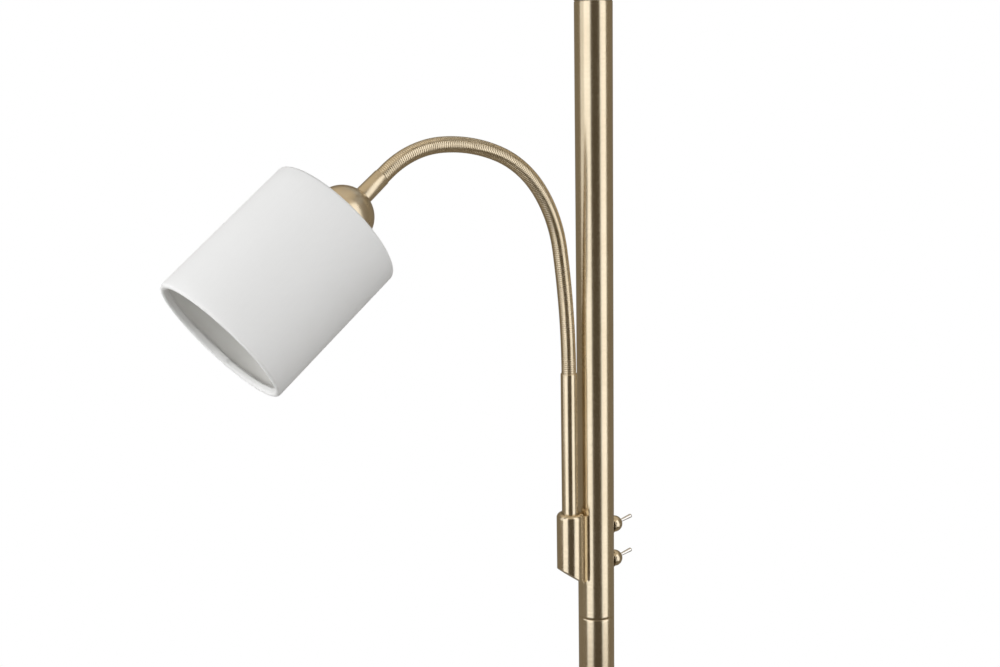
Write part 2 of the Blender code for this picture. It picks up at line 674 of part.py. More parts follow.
def build_switches():
    """Two toggle switches: body inside the pole, washer and ball nut outside, and the lever that tips."""
    for level, height in SWITCH_HEIGHTS.items():
        body = prism(f"switch_body_{level}", (10.5 * MM, 7.4 * MM, 12.6 * MM), (6.75 * MM, 0, height),
                     PLASTIC)
        bushing = cylinder_cutter(f"bushing_{level}", 3 * MM, (11 * MM, 0, height), (17 * MM, 0, height))
        combine(body, bushing, "UNION")
        for number, rise in enumerate((-4 * MM, 0, 4 * MM), start=1):
            blade = box_cutter(f"terminal_{level}_{number}", (-3 * MM, -1.2 * MM, height + rise - 0.4 * MM),
                               (2.5 * MM, 1.2 * MM, height + rise + 0.4 * MM))
            combine(body, blade, "UNION")

        washer = ring(f"switch_washer_{level}", 6.9 * MM, 3.4 * MM, 14.3 * MM, 15.1 * MM, BRASS, steps=16)
        ball_back = BALL_OFFSET - BALL_RADIUS * sin(radians(28))
        ball = turned(f"switch_ball_nut_{level}", [
            *arc(BALL_RADIUS, (0, BALL_OFFSET), 66, -28, 6), (3.3 * MM, ball_back),
            (3.3 * MM, 21.6 * MM), (2.45 * MM, 21.6 * MM),
        ], BRASS, steps=16)
        for piece in (washer, ball):
            piece.location = (0, 0, height)
            piece.rotation_euler = (0, pi / 2, 0)

        pivot = joint_frame(f"switch_pivot_{level}", (LEVER_PIVOT, 0, height))
        length = LEVER_TIP - LEVER_PIVOT
        tip = 1.55 * MM
        ball_end = arc(2.1 * MM, (0, 0), 58, -90, 4)
        ball_end[-1] = (0, -2.1 * MM)
        lever = turned(f"switch_lever_{level}", [
            (0, length), *arc(tip, (0, length - tip), 60, 0, 2), (1.1 * MM, 5 * MM), *ball_end,
        ], CHROME, hollow=False, steps=12)
        lever.rotation_euler = (0, radians(90 - LEVER_TILT), 0)
        lever.parent = pivot


# ---------------------------------------------------------------- leads inside

def smooth_route(points, count):
    """Points along a smooth curve through the route's own points, which leaves each along its neighbours."""
    places = [Vector(point) for point in points]
    places = [2 * places[0] - places[1]] + places + [2 * places[-1] - places[-2]]
    route = []
    for before, start, end, after in zip(places, places[1:], places[2:], places[3:]):
        length = (end - start).length
        leaving = (end - before).normalized() * length
        arriving = (after - start).normalized() * length
        for step in range(count):
            t = step / count
            route.append((2 * t ** 3 - 3 * t ** 2 + 1) * start + (t ** 3 - 2 * t ** 2 + t) * leaving
                         + (3 * t ** 2 - 2 * t ** 3) * end + (t ** 3 - t ** 2) * arriving)
    route.append(places[-2])
    return route


def build_leads():
    """The leads held inside: gland to switches, switch to top light, switch to reading arm."""
    thickness = 3 * MM
    upper = SWITCH_HEIGHTS["upper"]
    lower = SWITCH_HEIGHTS["lower"]
    routes = {
        "supply_lead": [
            (BASE_RADIUS + 3 * MM, 0, GLAND_HEIGHT), (BASE_RADIUS - 8 * MM, 0, GLAND_HEIGHT),
            (40 * MM, 0, 5 * MM), (10 * MM, 0, 4.6 * MM), (3.2 * MM, 0, 4.9 * MM), (0.4 * MM, 0, 8 * MM),
            (0, 0, 60 * MM), (0, 0, 500 * MM), (0, 0, lower - 30 * MM), (-5 * MM, 0, lower - 9 * MM),
        ],
        "top_light_lead": [
            (-5.5 * MM, 0, upper), (-7 * MM, 0, upper + 10 * MM), (-3 * MM, 0, upper + 40 * MM),
            (0, 0, upper + 80 * MM), (0, 0, THIRD_JOINT_HEIGHT - 30 * MM),
            (0, 0, THIRD_JOINT_HEIGHT + 52 * MM),
        ],
        "arm_lead": [
            (-5 * MM, 0, lower - 1 * MM), (-8 * MM, 0, ARM_NIPPLE_HEIGHT - 1 * MM), (-12 * MM, 0, ARM_NIPPLE_HEIGHT),
            (-20 * MM, 0, ARM_NIPPLE_HEIGHT), (-24.2 * MM, 0, ARM_NIPPLE_HEIGHT + 2 * MM),
            (-ARM_OFFSET, 0, ARM_NIPPLE_HEIGHT + 8 * MM), (-ARM_OFFSET, 0, NECK_START - 20 * MM),
            (-ARM_OFFSET, 0, NECK_START - 2 * MM),
        ],
    }
    for name, points in routes.items():
        wire(name, smooth_route(points, 3), thickness, LEAD)


# ---------------------------------------------------------------- assembly

def settle():
    """Applies the modifiers of every part and shades its round faces smooth."""
    made = {piece: as_mesh(piece) for piece in parts.objects}
    for piece, mesh in made.items():
        piece.modifiers.clear()
        piece.data = mesh
        mesh.shade_smooth()
        mesh.set_sharp_from_angle(angle=radians(32))


build_base()
build_pole()
build_bracket()
neck_end, neck_heading, last_joint = build_neck()
build_reading_head(neck_end, neck_heading, last_joint)
build_top_light()
build_switches()
build_leads()
settle()
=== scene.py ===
"""A straight brass floor lamp with a drum shade on top and a gooseneck reading arm.

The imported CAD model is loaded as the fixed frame, and the finished surfaces are made around it. Everything is
in metres, with +Z up along the pole.
"""
import json
from math import asin, ceil, cos, degrees, pi, radians, sin, tan, tau

import bmesh
import bpy
from mathutils import Matrix, Vector


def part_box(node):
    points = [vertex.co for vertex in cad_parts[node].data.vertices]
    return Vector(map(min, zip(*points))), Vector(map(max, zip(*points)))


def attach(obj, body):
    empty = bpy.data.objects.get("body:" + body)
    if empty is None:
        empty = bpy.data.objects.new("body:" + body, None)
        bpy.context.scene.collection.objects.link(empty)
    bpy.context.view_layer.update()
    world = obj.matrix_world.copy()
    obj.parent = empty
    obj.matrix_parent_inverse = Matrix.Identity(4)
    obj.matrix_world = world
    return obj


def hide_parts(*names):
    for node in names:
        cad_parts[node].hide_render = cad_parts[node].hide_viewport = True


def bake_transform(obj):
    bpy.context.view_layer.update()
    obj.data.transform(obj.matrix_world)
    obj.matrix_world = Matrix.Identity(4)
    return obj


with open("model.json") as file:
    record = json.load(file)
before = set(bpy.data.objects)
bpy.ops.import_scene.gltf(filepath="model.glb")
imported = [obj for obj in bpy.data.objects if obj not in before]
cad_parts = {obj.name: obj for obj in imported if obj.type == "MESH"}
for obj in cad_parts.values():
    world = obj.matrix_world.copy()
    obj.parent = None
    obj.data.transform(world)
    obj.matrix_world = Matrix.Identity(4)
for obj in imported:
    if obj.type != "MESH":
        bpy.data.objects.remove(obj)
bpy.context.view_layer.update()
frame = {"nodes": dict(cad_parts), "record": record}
MM = 0.001


# -------------------------------- camera
# A tripod at chest height, about a metre from the pole. The line of sight is a good third of a right angle
# off square to the arm's plane and a little down, and the camera leans by a degree.

CAMERA_TURN = radians(34.5)
CAMERA_TILT = radians(10.92)
CAMERA_LEAN = radians(-1.1)
CAMERA_DISTANCE = 0.96382
CAMERA_ASIDE = 0.07168
CAMERA_HEIGHT = 1.3875
CAMERA_LENS = 46.8          # millimetres, on a sensor 36 wide

up = Vector((0, 0, 1))
picture_right = Vector((cos(CAMERA_TURN), -sin(CAMERA_TURN), 0))
picture_away = Vector((sin(CAMERA_TURN), cos(CAMERA_TURN), 0))
looking = picture_away * cos(CAMERA_TILT) - up * sin(CAMERA_TILT)
head_up = picture_away * sin(CAMERA_TILT) + up * cos(CAMERA_TILT)
camera_right = picture_right * cos(CAMERA_LEAN) + head_up * sin(CAMERA_LEAN)
camera_up = head_up * cos(CAMERA_LEAN) - picture_right * sin(CAMERA_LEAN)

camera_data = bpy.data.cameras.new("camera")
camera_data.lens = CAMERA_LENS
camera_data.sensor_width = 36
camera_data.clip_start = 0.01
camera = bpy.data.objects.new("camera", camera_data)
bpy.context.scene.collection.objects.link(camera)
camera_place = Matrix((camera_right, camera_up, -looking)).transposed().to_4x4()
camera_place.translation = -picture_away * CAMERA_DISTANCE - picture_right * CAMERA_ASIDE + up * CAMERA_HEIGHT
camera.matrix_world = camera_place
bpy.context.scene.camera = camera


# -------------------------------- studio
# A white sweep with soft panels around the lamp. The panels stand left and right of the camera, so polished
# tubes carry two pale stripes with the dim room between them. Four more boxes only light the matt surfaces.

PANEL_DISTANCE = 1.8
PANEL_TOP = 3.3
PANELS = {       # degrees from the camera's side to the panel's two edges, its lower edge, its brightness
    "key_panel": (-61, -19, 0.04, 1.25),
    "key_wing": (-86, -62, 0.6, 0.72),
    "fill_panel": (38, 78, 0.04, 1.2),
}
SOFT_BOXES = {   # place, width and brightness of the lights that polished surfaces don't show
    "overhead_box": ((-0.35, -0.9, 3.3), 2.2, 0.65),
    "left_box": ((-1.87, 0.65, 1.35), 0.8, 6),
    "front_box": ((-0.96, -1.62, 1.46), 0.8, 1.6),
    "right_box": ((0.5, -1.55, 0.65), 0.8, 1.9),
}
LIT_PLACE = Vector((-0.2, 0, 1.3))
FLOOR_RADIUS = 14
ROOM_DIM = (0.085, 0.068, 0.045, 1)      # what polished brass sees behind the camera
ROOM_SIDES = (0.22, 0.185, 0.135, 1)     # and to the sides and behind the lamp
ROOM_CEILING = (0.62, 0.53, 0.4, 1)      # and straight above
ROOM_SOFT = (0.2, 0.2, 0.198, 1)         # what matt surfaces get from all round


def add_node(tree, kind, sockets=None, **settings):
    """A shader node with its settings made, and each socket linked to an output or set to a value."""
    made = tree.nodes.new(kind)
    for name, value in settings.items():
        setattr(made, name, value)
    for socket, value in (sockets or {}).items():
        if isinstance(value, bpy.types.NodeSocket):
            tree.links.new(value, made.inputs[socket])
        else:
            made.inputs[socket].default_value = value
    return made


def calc(tree, operation, *values):
    """The output of a Math node."""
    return add_node(tree, "ShaderNodeMath", dict(enumerate(values)), operation=operation).outputs[0]


def spread(tree, value, low, high, start=0.0, end=1.0):
    """A value from start to end, spread smoothly from low to high."""
    sockets = {"Value": value, "From Min": start, "From Max": end, "To Min": low, "To Max": high}
    return add_node(tree, "ShaderNodeMapRange", sockets, interpolation_type="SMOOTHSTEP").outputs["Result"]


def mixed(tree, factor, first, second):
    """The colour between two colours."""
    mix = add_node(tree, "ShaderNodeMix", {0: factor, 6: first, 7: second}, data_type="RGBA")
    return mix.outputs[2]


def aim_panel(name, middle, towards, width, height, brightness):
    """An even rectangular light at one point, turned to face another, which the camera doesn't see."""
    light = bpy.data.lights.new(name, "AREA")
    light.shape = "RECTANGLE"
    light.size = width
    light.size_y = height
    light.energy = brightness * pi * width * height
    panel = bpy.data.objects.new(name, light)
    turn = (middle - towards).to_track_quat("Z", "Y").to_matrix().to_4x4()
    panel.matrix_world = Matrix.Translation(middle) @ turn
    panel.visible_camera = False
    bpy.context.scene.collection.objects.link(panel)
    return panel


camera_side = Vector(camera_place.translation.to_2d().normalized().to_3d())
for name, (first, last, low, brightness) in PANELS.items():
    half = radians(last - first) / 2
    way = Matrix.Rotation(radians(first + last) / 2, 3, "Z") @ camera_side
    middle = way * PANEL_DISTANCE + up * (low + PANEL_TOP) / 2
    width = 2 * PANEL_DISTANCE * tan(half)
    aim_panel(name, middle, Vector((0, 0, middle.z)), width, PANEL_TOP - low, brightness)
for name, (box_place, width, brightness) in SOFT_BOXES.items():
    box = aim_panel(name, Vector(box_place), LIT_PLACE, width, width, brightness)
    box.visible_glossy = False

room = bpy.data.worlds.new("studio")
room.use_nodes = True
tree = room.node_tree
tree.nodes.clear()
rays = add_node(tree, "ShaderNodeLightPath")
direction = add_node(tree, "ShaderNodeTexCoord").outputs["Generated"]
facing = add_node(tree, "ShaderNodeVectorMath", {0: direction, 1: camera_side}, operation="DOT_PRODUCT")
height = add_node(tree, "ShaderNodeSeparateXYZ", {0: direction}).outputs["Z"]
around = mixed(tree, spread(tree, facing.outputs["Value"], 0, 1, 0.05, 0.8), ROOM_SIDES, ROOM_DIM)
polished = mixed(tree, spread(tree, height, 0, 1, 0.45, 0.85), around, ROOM_CEILING)
seen = mixed(tree, rays.outputs["Is Glossy Ray"], ROOM_SOFT, polished)
seen = mixed(tree, rays.outputs["Is Camera Ray"], seen, (1, 1, 1, 1))
add_node(tree, "ShaderNodeOutputWorld", {
    "Surface": add_node(tree, "ShaderNodeBackground", {"Color": seen}).outputs[0]})
bpy.context.scene.world = room
bpy.context.scene.view_settings.view_transform = "Standard"

shape = bmesh.new()
bmesh.ops.create_circle(shape, cap_ends=True, segments=96, radius=FLOOR_RADIUS)
floor_mesh = bpy.data.meshes.new("floor")
shape.to_mesh(floor_mesh)
shape.free()
floor = bpy.data.objects.new("floor", floor_mesh)
bpy.context.scene.collection.objects.link(floor)
paint = bpy.data.materials.new("white_sweep")
paint.use_nodes = True
tree = paint.node_tree
tree.nodes.clear()
place = add_node(tree, "ShaderNodeTexCoord").outputs["Object"]
radius = add_node(tree, "ShaderNodeVectorMath", {0: place}, operation="LENGTH").outputs["Value"]
rays = add_node(tree, "ShaderNodeLightPath")
far_off = calc(tree, "MULTIPLY", spread(tree, radius, 0, 1, 0.5, 1.9), rays.outputs["Is Camera Ray"])
matt = add_node(tree, "ShaderNodeBsdfDiffuse", {"Color": (0.9, 0.9, 0.89, 1)})
dim = add_node(tree, "ShaderNodeBsdfDiffuse", {"Color": (0.3, 0.29, 0.27, 1)})
lit = add_node(tree, "ShaderNodeMixShader", {
    0: rays.outputs["Is Camera Ray"], 1: dim.outputs[0], 2: matt.outputs[0]})
bright = add_node(tree, "ShaderNodeEmission", {"Color": (1, 1, 1, 1), "Strength": 1.0})
sweep = add_node(tree, "ShaderNodeMixShader", {0: far_off, 1: lit.outputs[0], 2: bright.outputs[0]})
add_node(tree, "ShaderNodeOutputMaterial", {"Surface": sweep.outputs[0]})
floor_mesh.materials.append(paint)
floor.visible_glossy = False


# -------------------------------- weighted base
# A spun brass cover over a cast iron disc, on a felt pad. The cover and the collar at the pole's foot are
# brushed on the lathe and lacquered, and a cable gland of black plastic sits low in the cover's side.

BRASS_FRESH = (0.81, 0.71, 0.54, 1)
BRASS_DULL = (0.7, 0.595, 0.43, 1)
COVER_ROUNDING = 7 * MM
COVER_WALL = 1.2 * MM
COVER_LIP = 0.4 * MM         # how far its lower edge is rounded
ROD_HOLE = 5.3 * MM          # around the threaded tubes


def noise(tree, place, scale, detail, roughness=0.5):
    """Smooth random values between 0 and 1."""
    return add_node(tree, "ShaderNodeTexNoise", {
        "Vector": place, "Scale": scale, "Detail": detail, "Roughness": roughness}).outputs[0]


def make_group(name, inputs, outputs):
    """An empty shader group with these float and vector inputs, and its input and output nodes."""
    group = bpy.data.node_groups.new(name, "ShaderNodeTree")
    for socket, kind in inputs.items():
        group.interface.new_socket(socket, in_out="INPUT", socket_type=kind)
    for socket in outputs:
        group.interface.new_socket(socket, in_out="OUTPUT", socket_type="NodeSocketFloat")
    return group, group.nodes.new("NodeGroupInput"), group.nodes.new("NodeGroupOutput")


# Fine rings left by an abrasive pad on a turning piece: close along the axis, long around it.
STREAK_SHARE = 0.22          # of the fine marks' density, for the broader streaks
ACROSS_SHARE = 0.012         # how much slower the marks change around the piece than along it
lathe_marks, given, result = make_group(
    "lathe_marks", {"Place": "NodeSocketVector", "Per Metre": "NodeSocketFloat"}, ("Height", "Streaks"))
split = add_node(lathe_marks, "ShaderNodeSeparateXYZ", {0: given.outputs["Place"]})
x, y, z = split.outputs
out = calc(lathe_marks, "SQRT", calc(lathe_marks, "ADD", calc(lathe_marks, "MULTIPLY", x, x),
                                     calc(lathe_marks, "MULTIPLY", y, y)))
for socket, share in (("Height", 1.0), ("Streaks", STREAK_SHARE)):
    density = calc(lathe_marks, "MULTIPLY", given.outputs["Per Metre"], share)
    along = calc(lathe_marks, "MULTIPLY", calc(lathe_marks, "ADD", z, out), density)
    around = calc(lathe_marks, "MULTIPLY", density, ACROSS_SHARE)
    place = add_node(lathe_marks, "ShaderNodeCombineXYZ", {
        0: along, 1: calc(lathe_marks, "MULTIPLY", x, around), 2: calc(lathe_marks, "MULTIPLY", y, around)})
    lathe_marks.links.new(noise(lathe_marks, place.outputs[0], 1.0, 3.0, 0.62), result.inputs[socket])

# Slow unevenness of lacquer and handling: patches the size of a finger, with finer mottling inside them.
handling, given, result = make_group(
    "handling", {"Place": "NodeSocketVector", "Patch": "NodeSocketFloat"}, ("Amount", "Mottle"))
scaled = calc(handling, "DIVIDE", 1.0, given.outputs["Patch"])
wide = noise(handling, given.outputs["Place"], scaled, 2.0)
fine = noise(handling, given.outputs["Place"], calc(handling, "MULTIPLY", scaled, 9.0), 4.0)
handling.links.new(spread(handling, wide, 0, 1, 0.35, 0.7), result.inputs["Amount"])
handling.links.new(fine, result.inputs["Mottle"])


def new_finish(name):
    """A material with only its Principled shader, and its tree and Object coordinates."""
    finish = bpy.data.materials.new(name)
    finish.use_nodes = True
    tree = finish.node_tree
    place = add_node(tree, "ShaderNodeTexCoord").outputs["Object"]
    return finish, tree, tree.nodes["Principled BSDF"], place


def set_shader(tree, shader, **values):
    """Sets or links the shader's sockets, named with underscores for spaces."""
    for name, value in values.items():
        socket = shader.inputs[name.replace("_", " ")]
        if isinstance(value, bpy.types.NodeSocket):
            tree.links.new(value, socket)
        else:
            socket.default_value = value


def bumped(tree, height, distance, strength=1.0):
    """A normal raised by a height pattern, by at most this distance in metres."""
    return add_node(tree, "ShaderNodeBump", {
        "Height": height, "Distance": distance, "Strength": strength}).outputs[0]


def handled(name, patch, bright, dull, rough, bump=None, colour_by="Amount", rough_by="Mottle", **values):
    """A finish that wanders between two colours and two roughnesses, in patches of this size.

    The bump is the height of its finest mottle in metres, and its strength.
    """
    finish, tree, shader, place = new_finish(name)
    touch = add_node(tree, "ShaderNodeGroup", {"Place": place, "Patch": patch}, node_tree=handling).outputs
    if bump:
        values["Normal"] = bumped(tree, touch["Mottle"], *bump)
    set_shader(tree, shader, Base_Color=mixed(tree, touch[colour_by], bright, dull),
               Roughness=spread(tree, touch[rough_by], *rough), **values)
    return finish


def brushed_brass(name, centre=(0, 0, 0), turn=(0, 0, 0), marks=2600, depth=0.004 * MM, rough=(0.17, 0.27)):
    """Satin brass under clear lacquer, brushed around the axis through a centre, turned by these angles.

    It has so many marks in a metre, each as deep as given in metres.
    """
    finish, tree, shader, place = new_finish(name)
    own = add_node(tree, "ShaderNodeMapping", {"Vector": place, "Location": centre, "Rotation": turn},
                   vector_type="TEXTURE").outputs[0]
    rings = add_node(tree, "ShaderNodeGroup", {"Place": own, "Per Metre": marks}, node_tree=lathe_marks)
    touch = add_node(tree, "ShaderNodeGroup", {"Place": place, "Patch": 0.03}, node_tree=handling)
    dulled = calc(tree, "MULTIPLY_ADD", touch.outputs["Amount"], 0.35,
                  calc(tree, "MULTIPLY", rings.outputs["Streaks"], 0.5))
    worn = calc(tree, "MULTIPLY_ADD", touch.outputs["Mottle"], 0.35,
                calc(tree, "MULTIPLY", rings.outputs["Streaks"], 0.6))
    set_shader(
        tree, shader, Metallic=1.0, Coat_Weight=0.35, Coat_Roughness=0.08, Coat_IOR=1.5,
        Base_Color=mixed(tree, dulled, BRASS_FRESH, BRASS_DULL),
        Roughness=spread(tree, worn, *rough, 0.2, 0.75),
        Normal=bumped(tree, rings.outputs["Height"], depth, 0.6))
    return finish


def turned(profile, steps=72, closed=True):
    """A mesh turned about Z from (radius, height) points. A closed profile gives a hollow piece."""
    shape = bmesh.new()
    points = [shape.verts.new((radius, 0, height)) for radius, height in profile]
    pairs = list(zip(points, points[1:]))
    if closed:
        pairs.append((points[-1], points[0]))
    edges = [shape.edges.new(pair) for pair in pairs]
    bmesh.ops.spin(shape, geom=points + edges, cent=(0, 0, 0), axis=(0, 0, 1), angle=tau, steps=steps,
                   use_merge=True)
    bmesh.ops.remove_doubles(shape, verts=shape.verts, dist=0.001 * MM)
    bmesh.ops.recalc_face_normals(shape, faces=shape.faces)
    return shape


def arc(radius, centre, start, end, count=8):
    """Points (radius, height) on an arc about a centre, between two angles in degrees."""
    angles = [radians(start + (end - start) * step / count) for step in range(count + 1)]
    return [(centre[0] + radius * cos(angle), centre[1] + radius * sin(angle)) for angle in angles]


def make_piece(name, shape, finish, body="stand", replaced=(), place=Matrix()):
    """A finished piece: its mesh put in place, smoothed, given its material and fixed to its body."""
    shape.transform(place)
    mesh = bpy.data.meshes.new(name)
    shape.to_mesh(mesh)
    shape.free()
    mesh.materials.append(finish)
    mesh.shade_smooth()
    mesh.set_sharp_from_angle(angle=radians(38))
    piece = bpy.data.objects.new(name, mesh)
    bpy.context.scene.collection.objects.link(piece)
    if body:
        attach(piece, body)
    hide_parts(*replaced)
    return piece


def reach_of(node):
    """A CAD node's outer radius about the pole, and its lowest and highest points."""
    low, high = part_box(node)
    return high[0], low[2], high[2]


pole_brass = brushed_brass("pole_brass")
base_brass = brushed_brass("base_brass", marks=1900)

cover_radius, cover_low, cover_top = reach_of("base_cover")
rounding_centre = (cover_radius - COVER_ROUNDING, cover_top - COVER_ROUNDING)
cover = turned([
    (ROD_HOLE, cover_top), (60 * MM, cover_top), (cover_radius - 20 * MM, cover_top),
    *arc(COVER_ROUNDING, rounding_centre, 90, 0, 10), (cover_radius, cover_low + 15 * MM),
    (cover_radius, cover_low + 1.5 * MM), (cover_radius, cover_low + COVER_LIP),
    (cover_radius - COVER_LIP, cover_low), (cover_radius - COVER_WALL, cover_low),
    *arc(COVER_ROUNDING - COVER_WALL, rounding_centre, 0, 90, 6), (ROD_HOLE, cover_top - COVER_WALL),
], steps=144)
make_piece("base_cover_spun", cover, base_brass, replaced=["base_cover"])

collar_radius, collar_low, collar_top = reach_of("pole_foot_collar")
collar_bore = 14.3 * MM
collar = turned([
    (collar_bore, collar_low), (collar_radius, collar_low), (collar_radius, collar_low + 1.2 * MM),
    *arc(1.4 * MM, (collar_radius - 1.4 * MM, collar_low + 2.2 * MM), 0, 70, 4),
    *arc(4.6 * MM, (collar_radius - 0.9 * MM, collar_top), 250, 190, 5),
    (collar_bore + 1.2 * MM, collar_top), (collar_bore, collar_top - 0.8 * MM),
], steps=96)
make_piece("pole_foot_collar_turned", collar, pole_brass, replaced=["pole_foot_collar"])


# Black phenolic moulding, with the faint orange-peel of the mould and dust in its hollows.
black_plastic = handled("black_phenolic", 0.004, (0.028, 0.028, 0.03, 1), (0.0716, 0.0716, 0.076, 1),
                        (0.32, 0.5), (0.02 * MM, 0.5))
gland_radius = 6.2 * MM
gland_bore = 3 * MM
gland_hole = 4.2 * MM        # in the cover's wall, around the gland's neck
gland_catch = 5.6 * MM       # the snap-in edge inside the wall
gland = turned([
    (gland_bore, 4 * MM), (gland_bore + 0.7 * MM, 4.3 * MM), (4.9 * MM, 4.3 * MM), (5.4 * MM, 3.8 * MM),
    (gland_radius, 2.6 * MM), (gland_radius, 0.5 * MM), (gland_radius - 0.2 * MM, 0.2 * MM),
    (gland_hole, 0.2 * MM), (gland_hole, -1.8 * MM), (gland_catch, -1.8 * MM), (gland_catch, -3.4 * MM),
    (gland_bore, -3.4 * MM),
], steps=48)
gland_low, gland_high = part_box("cable_gland")
gland_height = (gland_low[2] + gland_high[2]) / 2
sideways = Matrix.Rotation(pi / 2, 4, "Y")      # turns a piece's own Z to point along +X
make_piece("cable_gland_moulded", gland, black_plastic, replaced=["cable_gland"],
           place=Matrix.Translation((cover_radius, 0, gland_height)) @ sideways)


# -------------------------------- pole
# Three drawn brass tubes, screwed together end to end, and a short sleeve above them. The lowest is a little
# longer, as it stands in the base. Each end has a small chamfer, so every joint shows as one fine groove.

END_CHAMFER = 0.35 * MM
CHAMFER_MIDDLE = (0.1 * MM, 0.15 * MM)      # a point on it, inwards and along from the full round
TUBE_WALL = 1.2 * MM
for node in ("pole_lower_tube", "pole_middle_tube", "pole_upper_tube", "pole_top_sleeve"):
    radius, low, high = reach_of(node)
    tube = turned([
        (radius - TUBE_WALL, low), (radius - END_CHAMFER, low),
        (radius - CHAMFER_MIDDLE[0], low + CHAMFER_MIDDLE[1]), (radius, low + END_CHAMFER),
        (radius, low + 2 * MM), (radius, high - 2 * MM), (radius, high - END_CHAMFER),
        (radius - CHAMFER_MIDDLE[0], high - CHAMFER_MIDDLE[1]), (radius - END_CHAMFER, high),
        (radius - TUBE_WALL, high),
    ], steps=96)
    make_piece(node + "_drawn", tube, pole_brass, replaced=[node])


# -------------------------------- arm bracket and arm tube
# One brass casting: a round barrel, cut off slanting below, on a thin saddle that hugs the pole. The smooth
# arm tube stands deep in the barrel and is held by a grub screw in the barrel's side.

BARREL_RADIUS = 10.35 * MM
BARREL_SHOULDER = 3.5 * MM
BARREL_DROP = 51 * MM
BARREL_STOCK = 65 * MM       # the barrel's length before its end is cut off
BARREL_SLANT = 0.77          # how steeply the cut rises, per metre across
SADDLE_THICKNESS = 1.9 * MM
SADDLE_HALF_WIDTH = 7.8 * MM
SADDLE_TOP_DROP = 3.4 * MM
SADDLE_HEIGHT = 53.2 * MM
SADDLE_CORNER = 3 * MM
TUBE_SEAT_DEPTH = 33 * MM
GRUB_DROP = 18 * MM
GRUB_HOLE = 2.05 * MM
FIT_GAP = 0.3 * MM           # between the casting and the tubes it touches

pole_radius = reach_of("pole_upper_tube")[0]
arm_low, arm_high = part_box("arm_tube")
arm_x = (arm_low[0] + arm_high[0]) / 2
arm_radius = (arm_high[0] - arm_low[0]) / 2
bracket_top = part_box("arm_bracket")[1][2]


def boolean(shape, tool, operation):
    """The shape joined with the tool or cut by it, as a new mesh. Both are used up."""
    pair = []
    for source in (shape, tool):
        mesh = bpy.data.meshes.new("stock")
        source.to_mesh(mesh)
        source.free()
        pair.append(bpy.data.objects.new("stock", mesh))
        bpy.context.scene.collection.objects.link(pair[-1])
    cut = pair[0].modifiers.new("cut", "BOOLEAN")
    cut.operation = operation
    cut.solver = "EXACT"
    cut.object = pair[1]
    bpy.context.view_layer.update()
    evaluated = pair[0].evaluated_get(bpy.context.evaluated_depsgraph_get())
    made = bmesh.new()
    made.from_mesh(evaluated.to_mesh())
    for stock in pair:
        mesh = stock.data
        bpy.data.objects.remove(stock)
        bpy.data.meshes.remove(mesh)
    return made


def rod(radius, start, end, sides=32):
    """A plain round bar between two points, to cut with or to join on."""
    start = Vector(start)
    end = Vector(end)
    shape = bmesh.new()
    bmesh.ops.create_cone(shape, cap_ends=True, segments=sides, radius1=radius, radius2=radius,
                          depth=(end - start).length)
    turn = (end - start).to_track_quat("Z", "Y").to_matrix().to_4x4()
    shape.transform(Matrix.Translation((start + end) / 2) @ turn)
    return shape


shoulder_centre = (BARREL_RADIUS - BARREL_SHOULDER, bracket_top - BARREL_SHOULDER)
barrel = turned([
    (0, bracket_top), *arc(BARREL_SHOULDER, shoulder_centre, 90, 0, 10),
    (BARREL_RADIUS, bracket_top - BARREL_SHOULDER - 1 * MM), (BARREL_RADIUS, bracket_top - BARREL_STOCK),
    (0, bracket_top - BARREL_STOCK),
], steps=96, closed=False)
barrel.transform(Matrix.Translation((arm_x, 0, 0)))
slant_normal = Vector((BARREL_SLANT, 0, 1)).normalized()
cut = bmesh.ops.bisect_plane(
    barrel, geom=barrel.verts[:] + barrel.edges[:] + barrel.faces[:], dist=0.001 * MM,
    plane_co=(arm_x, 0, bracket_top - BARREL_DROP), plane_no=-slant_normal, clear_outer=True)
bmesh.ops.holes_fill(barrel, edges=[edge for edge in barrel.edges if edge.is_boundary], sides=0)

saddle_inner = pole_radius + FIT_GAP
saddle_outer = saddle_inner + SADDLE_THICKNESS
half_angle = asin(SADDLE_HALF_WIDTH / saddle_outer)
saddle_top = bracket_top - SADDLE_TOP_DROP
saddle = bmesh.new()
corners = [saddle.verts.new((-radius, 0, height)) for radius, height in (
    (saddle_inner, saddle_top), (saddle_outer, saddle_top),
    (saddle_outer, saddle_top - SADDLE_HEIGHT), (saddle_inner, saddle_top - SADDLE_HEIGHT))]
blank = saddle.faces.new(corners)
bmesh.ops.rotate(saddle, cent=(0, 0, 0), matrix=Matrix.Rotation(-half_angle, 3, "Z"), verts=saddle.verts)
bmesh.ops.spin(saddle, geom=[blank] + blank.edges[:] + blank.verts[:], cent=(0, 0, 0), axis=(0, 0, 1),
               angle=2 * half_angle, steps=20, use_merge=False)
bmesh.ops.recalc_face_normals(saddle, faces=saddle.faces)
edge_corners = [edge for edge in saddle.edges
                if abs((edge.verts[0].co - edge.verts[1].co).length - SADDLE_THICKNESS) < 0.01 * MM
                and abs(abs(edge.verts[0].co.y / edge.verts[0].co.x) - tan(half_angle)) < 0.001]
bmesh.ops.bevel(saddle, geom=edge_corners, offset=SADDLE_CORNER, offset_type="OFFSET", segments=5,
                profile=0.5, affect="EDGES", clamp_overlap=True, material=-1)
bracket = boolean(barrel, saddle, "UNION")
grub_height = bracket_top - GRUB_DROP
tube_seat = bracket_top - TUBE_SEAT_DEPTH
